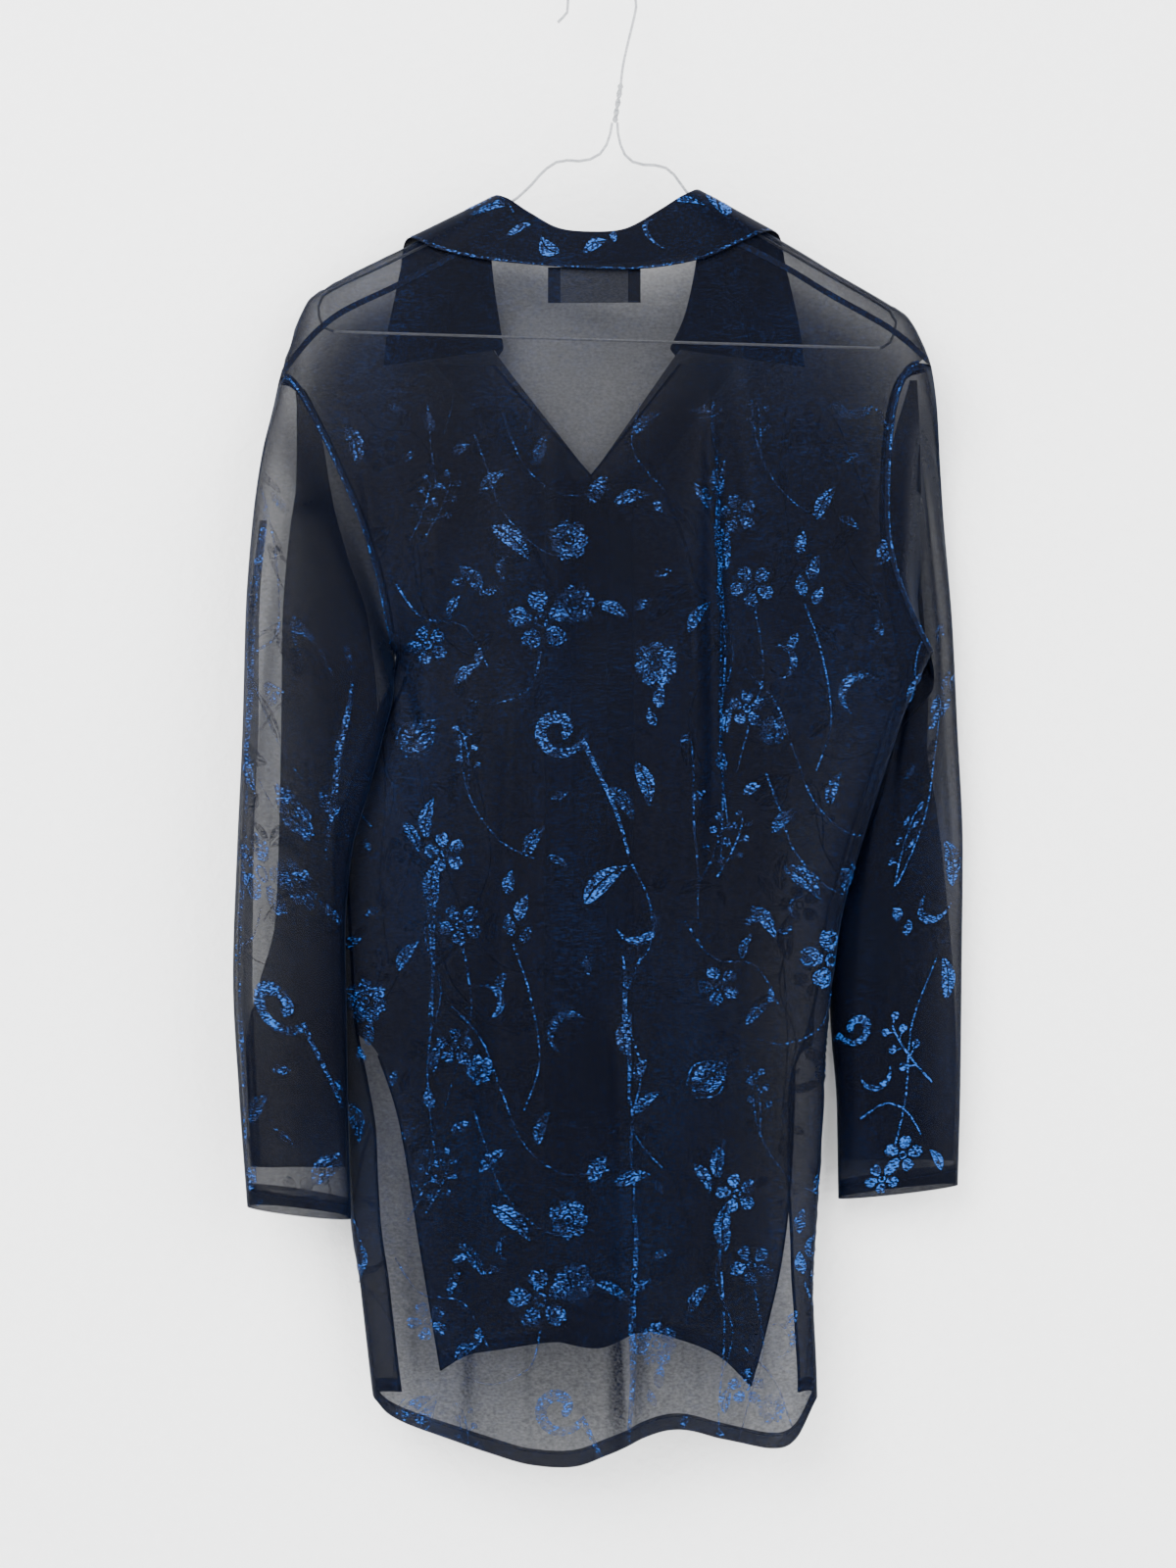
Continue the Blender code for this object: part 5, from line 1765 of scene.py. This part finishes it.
# %% Motifs of the sleeves
LEFT_BRIGHTEST = 0.5
RIGHT_BRIGHTEST = 0.85
SLEEVE_REPEAT_START = (64, 96)
left_surface, left_keep = sleeve_surface(
    LEFT_SLEEVE, LEFT_SLEEVE_FOLDS, MOTIF_LIFT, LEFT_BRIGHTEST)
right_surface, right_keep = sleeve_surface(
    RIGHT_SLEEVE, RIGHT_SLEEVE_FOLDS, MOTIF_LIFT, RIGHT_BRIGHTEST)
left_sleeve_found = repeats(*SLEEVE_REPEAT_START, (-1, 0), (-1, 0, 1))
left_sleeve_found += glint_grids(LEFT_SLEEVE_GLINTS)
left_sleeve_motifs = motif_object(
    "sleeve_left_motifs", left_sleeve_found, left_surface, left_keep, motif_yarn)
CUFF_MOTIFS = [
    Motif("flower", 46, -574, 30, 10, 1.6),
    Motif("flower", 62, -591, 26, 40, 1.6),
    Motif("leaf", 20, -582, 20, 60, 1.3),
    Motif("sprig", 36, -500, 52, -28, 1.3),
    Motif("scroll", 78, -474, 40, 10, 1.2),
    Motif("crescent", 66, -508, 26, 150, 1.1),
    Motif("leaf", 14, -455, 30, 84, 1.0),
    Motif("leaf", 12, -380, 34, 78, 0.9),
    Motif("sprig", 44, -352, 46, 20, 0.8),
    Motif("crescent", 20, -400, 30, 200, 0.9),
    Motif("petal", 50, -396, 14, 70, 0.9),
    Motif("petal", 42, -410, 13, 100, 0.9),
    Motif("flower", 14, -268, 30, 20, 0.6),
    Motif("leaf", 18, -215, 24, 60, 0.5),
    Motif("petal", 44, -290, 14, 30, 0.4),
    Motif("flower", -30, -560, 30, 0, 0.8),
    Motif("leaf", -50, -500, 28, 50, 0.7),
    Motif("scroll", -50, -380, 44, 0, 0.7),
    Motif("flower", -30, -300, 32, 0, 0.6),
    Motif("leaf", -60, -240, 26, 30, 0.6),
]
CUFF_STEMS = [
    Stem(1.3, [(78, -540), (60, -532), (44, -540), (32, -560)]),
    Stem(1.1, [(52, -566), (44, -530), (38, -480), (20, -440)]),
    Stem(0.8, [(50, -372), (30, -336), (22, -300), (16, -270)]),
]
cuff_found = [(grid, motif.shine) for motif in CUFF_MOTIFS for grid in motif_grids(motif)]
cuff_found += [(stem_grid(stem), stem.shine) for stem in CUFF_STEMS]
right_sleeve_motifs = motif_object(
    "sleeve_right_motifs", cuff_found, right_surface, right_keep, motif_yarn)
for made in (left_sleeve_motifs, right_sleeve_motifs):
    print(made.name, "faces", len(made.data.polygons))

# %% [markdown]
# Seams and stitches
#
# Where two pieces are sewn together their allowances lie inside, and several layers make a
# narrow dark line. A welt in the surface could show it, but a thin strip just off the cloth is
# simpler and keeps its own edge. The stitches are short dashes along a line, in the same thread.

# %% Helpers for seams and stitches
STRIP_STEPS = 12
FIRST_STITCH = 0.5


def back_at(x, z):
    """Points on the back."""
    return on_torso(x, z, BACK)


def front_at(side):
    """A surface that gives points on a front."""
    return lambda x, z: front_shift(on_torso(x, z, FRONT), side)


def strip(path, surface, width, lift, inset=0.0):
    """A strip of vertices and faces along a path of pattern points."""
    count = STRIP_STEPS * len(path)
    line = resample(path, np.linspace(0, 1, count))
    flat = ribbon(line, np.full(count, width))
    shift = (flat[:, 1] - flat[:, 0]) / width * inset
    flat = (flat + shift[:, None, :]).reshape(-1, 2)
    return lifted_off(surface, flat, lift), grid_faces(count, 2)


def dashes(path, surface, lift, length=2.6, gap=1.0, width=0.45):
    """Stitches along a path of pattern points."""
    fine = resample(path, np.linspace(0, 1, 400))
    total = float(np.sum(np.linalg.norm(np.diff(fine, axis=0), axis=1)))
    starts = np.arange(FIRST_STITCH, total - length, length + gap)
    first = resample(path, starts / total)
    last = resample(path, (starts + length) / total)
    ahead = (last - first) / np.maximum(np.linalg.norm(last - first, axis=1, keepdims=True), 1e-9)
    side = np.stack([-ahead[:, 1], ahead[:, 0]], axis=1) * width / 2
    corners = np.stack([first - side, last - side, last + side, first + side], axis=1).reshape(-1, 2)
    faces = [(4 * k, 4 * k + 1, 4 * k + 2, 4 * k + 3) for k in range(len(starts))]
    return lifted_off(surface, corners, lift), faces


def pattern_line(edges, down, across=np.linspace(0, 1, 60)):
    """A line across a pattern piece at a fraction of its length."""
    return [tuple(point) for point in patch(edges, across, np.array([down]))[0]]


print("a strip has", STRIP_STEPS, "steps for each point of its path")

# %% Seams of the torso and the sleeves
SEAM_WIDTH = 3.6
SHOULDER_SEAM_WIDTH = 4.4
NECK_SEAM_WIDTH = 3.0
UNDERARM_SEAM_WIDTH = 5.0
SIDE_SEAM_WIDTH = 2.2
V_EDGE_WIDTH = 1.8
SLIT_EDGE_WIDTH = 2.0
SEAM_LIFT = 0.35
CAP_SEAM_LIFT = 0.6
CAP_SEAM_ENDS = (0.001, 0.011)
LEFT_V_TOP = (-80, -283)
RIGHT_V_TOP = (58, -283)
LEFT_SHOULDER_TIP = Point(-235, -294.5)
RIGHT_SHOULDER_TIP = Point(238, -286)
LEFT_UNDERARM_SEAM = [Point(-149, -482), Point(-149, -494), Point(-151, -506), Point(-157, -522)]
left_hole = armhole_edge(LEFT_SLEEVE)
right_hole = armhole_edge(RIGHT_SLEEVE)
back_neck = [(row.seam_x, row.seam_z) for row in COLLAR if row.turn == BACK]
left_side = side_edge("left", -1, LEFT_SLIT_WRAP, BACK_HEM[0].z)
right_side = side_edge("right", 1, RIGHT_SLIT_WRAP, BACK_HEM[-1].z)
left_v = [LEFT_V_TOP, tuple(V_BOTTOM)]
right_v = [RIGHT_V_TOP, tuple(V_BOTTOM)]

back_seams = [
    strip(LEFT_SHOULDER_SEAM + [LEFT_SHOULDER_TIP], back_at, SHOULDER_SEAM_WIDTH, SEAM_LIFT),
    strip(RIGHT_SHOULDER_SEAM + [RIGHT_SHOULDER_TIP], back_at, SHOULDER_SEAM_WIDTH, SEAM_LIFT),
    strip(left_hole, back_at, SEAM_WIDTH, SEAM_LIFT),
    strip(right_hole, back_at, SEAM_WIDTH, SEAM_LIFT),
    strip(back_neck, back_at, NECK_SEAM_WIDTH, SEAM_LIFT),
    strip(LEFT_UNDERARM_SEAM, back_at, UNDERARM_SEAM_WIDTH, SEAM_LIFT),
    strip(left_side, back_at, SIDE_SEAM_WIDTH, SEAM_LIFT),
    strip(right_side, back_at, SIDE_SEAM_WIDTH, SEAM_LIFT),
]
front_seams = [
    strip(left_hole, front_at(-1), SEAM_WIDTH, -SEAM_LIFT),
    strip(right_hole, front_at(1), SEAM_WIDTH, -SEAM_LIFT),
    strip(left_v, front_at(-1), V_EDGE_WIDTH, -SEAM_LIFT),
    strip(right_v, front_at(1), V_EDGE_WIDTH, -SEAM_LIFT),
    strip(LEFT_SLIT, front_at(-1), SLIT_EDGE_WIDTH, -SEAM_LIFT),
    strip(RIGHT_SLIT, front_at(1), SLIT_EDGE_WIDTH, -SEAM_LIFT),
]
back_seam_mesh = mesh_object("back_seams", *joined(back_seams), seam_thread, "mesh_cloth")
front_seam_mesh = mesh_object("front_seams", *joined(front_seams), seam_thread, "mesh_cloth")

cap_along = np.linspace(*CAP_SEAM_ENDS, 4)
left_cap = grid_object(
    "sleeve_left_cap_seam", sleeve_points(LEFT_SLEEVE, [], around, cap_along, CAP_SEAM_LIFT),
    seam_thread, "mesh_cloth", closed=True)
right_cap = grid_object(
    "sleeve_right_cap_seam", sleeve_points(RIGHT_SLEEVE, [], around, cap_along, CAP_SEAM_LIFT),
    seam_thread, "mesh_cloth", closed=True)
print("seam faces:", len(back_seam_mesh.data.polygons) + len(front_seam_mesh.data.polygons))

# %% Painted highlights of shiny yarn along the armholes and the sides
EDGE_HIGHLIGHT_WIDTH = 1.5
SIDE_HIGHLIGHT_WIDTH = 1.2
EDGE_HIGHLIGHT_LIFT = 0.7
EDGE_HIGHLIGHT_INSET = 1.2
EDGE_HIGHLIGHT_SHINE = 0.2
# Ribbons of the yarn finish paint the highlights where the cloth turns at the armholes and the sides.
edge_yarns = [
    strip(left_hole, back_at, EDGE_HIGHLIGHT_WIDTH, EDGE_HIGHLIGHT_LIFT, -EDGE_HIGHLIGHT_INSET),
    strip(right_hole, back_at, EDGE_HIGHLIGHT_WIDTH, EDGE_HIGHLIGHT_LIFT, EDGE_HIGHLIGHT_INSET),
    strip(left_side, back_at, SIDE_HIGHLIGHT_WIDTH, EDGE_HIGHLIGHT_LIFT),
    strip(right_side, back_at, SIDE_HIGHLIGHT_WIDTH, EDGE_HIGHLIGHT_LIFT),
]
highlight_vertices, highlight_faces = joined(edge_yarns)
highlight_shine = np.full(len(highlight_vertices), EDGE_HIGHLIGHT_SHINE)
edge_highlight_mesh = mesh_object(
    "edge_yarns", highlight_vertices, highlight_faces, motif_yarn, "mesh_cloth", highlight_shine)
print("edge yarn faces:", len(highlight_faces))

# %% Stitches of the hems and the cuffs
STITCH_LIFT = 0.35
STITCH_INSET = 2.0
CUFF_STITCHES = 60
CUFF_STITCH_SHARE = 0.7
CUFF_STITCH_WIDTH = 0.0008
hem_line = 1 - (HEM_TURN - STITCH_INSET) / BACK_LENGTH
front_line = 1 - (HEM_TURN - STITCH_INSET) / FRONT_LENGTH
back_stitches = [dashes(pattern_line(BACK_EDGES, hem_line), back_at, STITCH_LIFT)]
front_stitches = [
    dashes(pattern_line(LEFT_EDGES, front_line), front_at(-1), -STITCH_LIFT),
    dashes(pattern_line(RIGHT_EDGES, front_line), front_at(1), -STITCH_LIFT),
]
back_stitch_mesh = mesh_object("back_stitches", *joined(back_stitches), seam_thread, "mesh_cloth")
front_stitch_mesh = mesh_object("front_stitches", *joined(front_stitches), seam_thread, "mesh_cloth")


def cuff_stitches(rings, folds):
    """Stitches round a cuff, above its turned edge."""
    t = 1 - (HEM_TURN - STITCH_INSET) / SLEEVE_LENGTH
    starts = np.arange(CUFF_STITCHES) / CUFF_STITCHES
    ends = starts + CUFF_STITCH_SHARE / CUFF_STITCHES
    turns = np.stack([starts, ends, ends, starts], axis=1).ravel()
    levels = np.tile([t, t, t + CUFF_STITCH_WIDTH, t + CUFF_STITCH_WIDTH], CUFF_STITCHES)
    points = sleeve_at(rings, folds, turns, levels, STITCH_LIFT)
    return points, [(4 * k, 4 * k + 1, 4 * k + 2, 4 * k + 3) for k in range(CUFF_STITCHES)]


left_cuff_stitches = mesh_object(
    "sleeve_left_stitches", *cuff_stitches(LEFT_SLEEVE, LEFT_SLEEVE_FOLDS), seam_thread, "mesh_cloth")
right_cuff_stitches = mesh_object(
    "sleeve_right_stitches", *cuff_stitches(RIGHT_SLEEVE, RIGHT_SLEEVE_FOLDS), seam_thread, "mesh_cloth")
stitched = (back_stitch_mesh, front_stitch_mesh, left_cuff_stitches, right_cuff_stitches)
print("stitches:", sum(len(made.data.polygons) for made in stitched))

# %% [markdown]
# Motifs of the collar
#
# The collar is cut from the same cloth, so it has the same motifs, only smaller pieces of
# them. They lie on its outer layer, between the fold and the edge, and one bright yarn runs
# along the edge itself. The chart gives millimetres along the collar and down from the fold.

# %% Motifs and edge yarn of the collar
COLLAR_MOTIF_LIFT = 0.4


def collar_surface(flat):
    """Points on the collar's outer layer: x is -1 to 1 along it, z 0 at the fold and 1 at the edge."""
    rows = (flat[:, 0] + 1) / 2 * (collar_grid.shape[0] - 1)
    columns = COLLAR_STEPS + flat[:, 1] * 2 * COLLAR_STEPS
    j = np.clip(rows.astype(int), 0, collar_grid.shape[0] - 2)
    i = np.clip(columns.astype(int), 0, collar_grid.shape[1] - 2)
    s = (rows - j)[:, None]
    t = (columns - i)[:, None]
    outer = collar_grid + grid_normals(collar_grid) * COLLAR_SIDE * (COLLAR_WALL / 2 + COLLAR_MOTIF_LIFT)
    near = outer[j, i] * (1 - t) + outer[j, i + 1] * t
    far = outer[j + 1, i] * (1 - t) + outer[j + 1, i + 1] * t
    return near * (1 - s) + far * s, 1.0


middle_normal = grid_normals(collar_grid)[COLLAR_SECTIONS // 2, -3]
COLLAR_SIDE = 1.0 if middle_normal[1] < 0 else -1.0
COLLAR_SPAN = 520.0
LEAF_DEPTH = 30.0
CollarMotif = namedtuple("CollarMotif", "kind along down size angle shine")
COLLAR_MOTIFS = [
    CollarMotif("scroll", -118, -10, 26, 60, 0.9),
    CollarMotif("leaf", -96, -14, 22, 20, 0.8),
    CollarMotif("petal", -58, -16, 12, 40, 0.9),
    CollarMotif("leaf", -30, -19, 20, 160, 1.0),
    CollarMotif("leaf", 4, -18, 20, 20, 1.0),
    CollarMotif("petal", 20, -10, 12, 70, 0.8),
    CollarMotif("crescent", 52, -16, 18, 40, 0.6),
    CollarMotif("leaf", 92, -10, 22, -30, 0.9),
    CollarMotif("leaf", 118, -18, 26, 10, 1.0),
    CollarMotif("flower", 150, -14, 24, 0, 0.9),
    CollarMotif("flower", -160, -15, 24, 0, 0.7),
    CollarMotif("leaf", -205, -16, 26, 30, 0.8),
    CollarMotif("scroll", 205, -10, 24, 40, 0.8),
    CollarMotif("petal", 180, -20, 12, 50, 0.8),
]
COLLAR_YARN_DEPTH = 0.03
COLLAR_YARN_SHINE = 0.35
collar_found = []
for motif in COLLAR_MOTIFS:
    shapes = moved(turned(SHAPES[motif.kind], motif.angle), motif.along, motif.down, motif.size)
    for grid in shapes:
        unit = np.stack([grid[..., 0] / (COLLAR_SPAN / 2), -grid[..., 1] / LEAF_DEPTH], axis=-1)
        collar_found.append((unit, motif.shine))
edge_line = np.stack([np.linspace(-0.99, 0.99, 240), np.full(240, 0.965)], axis=1)
edge_band = np.stack([edge_line, edge_line + np.array([0, COLLAR_YARN_DEPTH])], axis=1)
collar_found.append((edge_band, COLLAR_YARN_SHINE))
collar_motifs = motif_object(
    "collar_motifs", collar_found, collar_surface,
    lambda flat: (np.abs(flat[:, 0]) < 1) & (flat[:, 1] > 0) & (flat[:, 1] < 1.001), motif_yarn)
print("collar motif faces:", len(collar_motifs.data.polygons))

# %% [markdown]
# Stage, light and camera
#
# The blouse hangs in front of a pale wall in soft daylight. A wall, a floor, two large square
# lights and a bright, slightly blue world give the same. Large lights make soft shadows. The
# wall's paint is see-through from behind, so that the object can be looked at from all round.
# The camera is level and straight in front of the back, as in the photo.

# %% Wall and floor
WALL_Y = 0.042
WALL_HALF = 3.0
WALL_TOP = 1.6
FLOOR_Z = -1.75
FLOOR_HALF = 3.5


def make_wall_paint():
    """Pale plaster that is seen only from its front, so that the wall never hides the object."""
    made, shader, tree = new_material("wall_paint")
    noise = stretched_noise(tree, (120, 120, 120), 5.0)
    bump = tree.nodes.new("ShaderNodeBump")
    bump.inputs["Strength"].default_value = 0.32
    bump.inputs["Distance"].default_value = 0.004
    tree.links.new(noise, bump.inputs["Height"])
    tree.links.new(bump.outputs["Normal"], shader.inputs["Normal"])
    colour = ramp(tree, noise, 0.2, 0.8, (0.93, 0.93, 0.925, 1), (0.97, 0.97, 0.965, 1))
    tree.links.new(colour, shader.inputs["Base Color"])
    shader.inputs["Roughness"].default_value = 0.9
    side = tree.nodes.new("ShaderNodeNewGeometry")
    seen = arithmetic(tree, "SUBTRACT", 1.0, side.outputs["Backfacing"])
    tree.links.new(seen, shader.inputs["Alpha"])
    return made


def stage_plane(name, corners, finish):
    """One flat piece of the stage."""
    mesh = bpy.data.meshes.new(name)
    mesh.from_pydata(corners, [], [(0, 1, 2, 3)])
    mesh.materials.append(finish)
    made = bpy.data.objects.new(name, mesh)
    bpy.context.scene.collection.objects.link(made)
    return made


wall_paint = make_wall_paint()
wall_corners = [
    (-WALL_HALF, WALL_Y, FLOOR_Z),
    (WALL_HALF, WALL_Y, FLOOR_Z),
    (WALL_HALF, WALL_Y, WALL_TOP),
    (-WALL_HALF, WALL_Y, WALL_TOP),
]
floor_corners = [
    (-WALL_HALF, -FLOOR_HALF, FLOOR_Z),
    (WALL_HALF, -FLOOR_HALF, FLOOR_Z),
    (WALL_HALF, FLOOR_HALF, FLOOR_Z),
    (-WALL_HALF, FLOOR_HALF, FLOOR_Z),
]
stage_plane("wall", wall_corners, wall_paint)
stage_plane("floor", floor_corners, wall_paint)
print("the wall is", WALL_Y, "m behind the hook")

# %% Light
KEY_PLACE = (-1.3, -2.4, 0.9)
KEY_TARGET = (0.0, 0.0, -0.55)
KEY_POWER = 212
FILL_PLACE = (1.8, -2.2, 0.1)
FILL_TARGET = (0.0, 0.0, -0.6)
FILL_POWER = 92
LIGHT_SIZE = 2.2
SKY_COLOUR = (0.95, 0.97, 1.0, 1)
SKY_STRENGTH = 1.58


def area_light(name, place, target, size, power):
    """A soft square light that looks at a target."""
    data = bpy.data.lights.new(name, "AREA")
    data.shape = "SQUARE"
    data.size = size
    data.energy = power
    made = bpy.data.objects.new(name, data)
    bpy.context.scene.collection.objects.link(made)
    made.location = place
    direction = Vector([end - start for start, end in zip(place, target)])
    made.rotation_euler = direction.to_track_quat("-Z", "Y").to_euler()
    return made


area_light("key", KEY_PLACE, KEY_TARGET, LIGHT_SIZE, KEY_POWER)
area_light("fill", FILL_PLACE, FILL_TARGET, LIGHT_SIZE, FILL_POWER)
world = bpy.data.worlds.new("studio")
world.use_nodes = True
world.node_tree.nodes["Background"].inputs["Color"].default_value = SKY_COLOUR
world.node_tree.nodes["Background"].inputs["Strength"].default_value = SKY_STRENGTH
bpy.context.scene.world = world
print("light powers:", KEY_POWER, FILL_POWER, "and sky", SKY_STRENGTH)

# %% Camera
CAMERA_X = -0.010
CAMERA_Y = -1.9685
CAMERA_Z = -0.5914
SENSOR_HEIGHT = 36.0
LENS = 62.0
camera_data = bpy.data.cameras.new("camera")
camera_data.sensor_fit = "VERTICAL"
camera_data.sensor_height = SENSOR_HEIGHT
camera_data.lens = LENS
camera = bpy.data.objects.new("camera", camera_data)
bpy.context.scene.collection.objects.link(camera)
camera.location = (CAMERA_X, CAMERA_Y, CAMERA_Z)
camera.rotation_euler = (math.radians(90), 0, 0)
bpy.context.scene.camera = camera
print("camera at", CAMERA_X, CAMERA_Y, CAMERA_Z)

# %% [markdown]
# Hanger, label and buttons
#
# Some solids are already the thing itself: bent wire, a flat label and turned buttons. They
# stay as they are and only get a finish. The bar has a much paler finish of its own, a painted
# highlight, because it is seen through the cloth and catches the light.

# %% Finish of the hanger, label and buttons
BUTTON_COUNT = 6
for name in ("hanger_hook", "hanger_twist", "hanger_arm_left", "hanger_arm_right", "hanger_bar"):
    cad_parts[name].data.materials.clear()
    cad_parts[name].data.materials.append(bar_steel if name == "hanger_bar" else wire_steel)
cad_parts["neck_label"].data.materials.clear()
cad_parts["neck_label"].data.materials.append(label_cloth)
for number in range(1, BUTTON_COUNT + 1):
    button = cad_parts[f"button_{number}"]
    button.data.materials.clear()
    button.data.materials.append(button_plastic)
print("the bar's finish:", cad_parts["hanger_bar"].data.materials[0].name)

# %% [markdown]
# Holes and threads of the buttons
#
# Each button has four holes in a shallow dish, and two stitches of thread hold it. Cutting the
# holes out of the solid would change it, so they are dark discs just off the dish, and the
# threads are bowed bands above them. The buttonholes are narrow bars on the right front.

# %% Buttonholes, holes and threads of the buttons
BUTTON_X = V_BOTTOM.x
BUTTON_TOP = -378
BUTTON_PITCH = 108
BUTTON_DISH = 0.7
HOLE_SPREAD = 1.5
HOLE_RADIUS = 0.7
BUTTONHOLE_LENGTH = 14
BUTTONHOLE_WIDTH = 2.2
BUTTONHOLE_LIFT = 0.2
HOLE_LIFT = 0.05
HOLE_CORNERS = 9
THREAD_LIFT = 0.15
THREAD_BOW = 0.4
THREAD_WIDTH = 0.6
THREAD_STEPS = 7
holes = []
threads = []
buttonholes = []
for number in range(BUTTON_COUNT):
    z = BUTTON_TOP - BUTTON_PITCH * number
    dish_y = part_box(f"button_{number + 1}")[1].y / MM - BUTTON_DISH
    for side in (-1, 1):
        for level in (-1, 1):
            middle = (BUTTON_X + side * HOLE_SPREAD, z + level * HOLE_SPREAD)
            ring = arc(HOLE_RADIUS, 0, 360, HOLE_CORNERS, middle)
            disc = np.stack([np.tile(middle, (HOLE_CORNERS, 1)), ring], axis=1)
            depth = np.full(disc.shape[:2], dish_y + HOLE_LIFT)
            points = np.stack([disc[..., 0], depth, disc[..., 1]], axis=-1)
            holes.append((points, grid_faces(HOLE_CORNERS, 2)))
        t = np.linspace(-1, 1, THREAD_STEPS)
        across = np.full(THREAD_STEPS, BUTTON_X + side * HOLE_SPREAD)
        line = np.stack([across, z + t * HOLE_SPREAD], axis=1)
        band = ribbon(line, np.full(THREAD_STEPS, THREAD_WIDTH))
        rise = dish_y + THREAD_LIFT + THREAD_BOW * (1 - t**2)
        depth = np.repeat(rise[:, None], 2, axis=1)
        points = np.stack([band[..., 0], depth, band[..., 1]], axis=-1)
        threads.append((points, grid_faces(THREAD_STEPS, 2)))
    half = BUTTONHOLE_LENGTH / 2
    slot = [(BUTTON_X, z + half), (BUTTON_X, z), (BUTTON_X, z - half)]
    buttonholes.append(strip(slot, front_at(1), BUTTONHOLE_WIDTH, -BUTTONHOLE_LIFT))
button_hole_mesh = mesh_object("button_holes", *joined(holes), seam_thread, "mesh_cloth")
button_thread_mesh = mesh_object("button_threads", *joined(threads), seam_thread, "mesh_cloth")
buttonhole_mesh = mesh_object("buttonholes", *joined(buttonholes), seam_thread, "mesh_cloth")
print("button holes:", len(holes))

# %% [markdown]
# The flat cut
#
# A maker lays the cloth flat and cuts each piece from it. Every cloth piece is listed here with
# the width and length of the rectangle it is cut from, and with its area, both in metres, and
# printed with the measured area of the built mesh beside it.

# %% Print the flat cut of each sheet
CUTS = [
    (back, (0.47, 0.88), 0.350,
     [back_hem_band, back_motifs, back_seam_mesh, edge_highlight_mesh, back_stitch_mesh]),
    (front_left, (0.25, 0.85), 0.137,
     [left_hem_band, left_motifs, front_seam_mesh, front_stitch_mesh]),
    (front_right, (0.27, 0.85), 0.159,
     [right_hem_band, right_motifs, button_hole_mesh, button_thread_mesh, buttonhole_mesh]),
    (sleeve_left, (0.42, 0.61), 0.117,
     [left_cuff_band, left_sleeve_motifs, left_cap, left_cuff_stitches, left_shaded_pleat, left_shaded_turn]),
    (sleeve_right, (0.38, 0.61), 0.098,
     [right_cuff_band, right_sleeve_motifs, right_cap, right_cuff_stitches, right_shaded_pleat, right_shaded_turn]),
    (collar, (0.52, 0.09), 0.036, [collar_motifs]),
    (facing_left, (0.046, 0.73), 0.031, []),
    (facing_right, (0.046, 0.73), 0.031, []),
]
for piece, flat, cloth_area, parts_on_it in CUTS:
    print(piece.name, "flat", flat, "area", cloth_area, "measured", round(area_of(piece), 3), "m2")
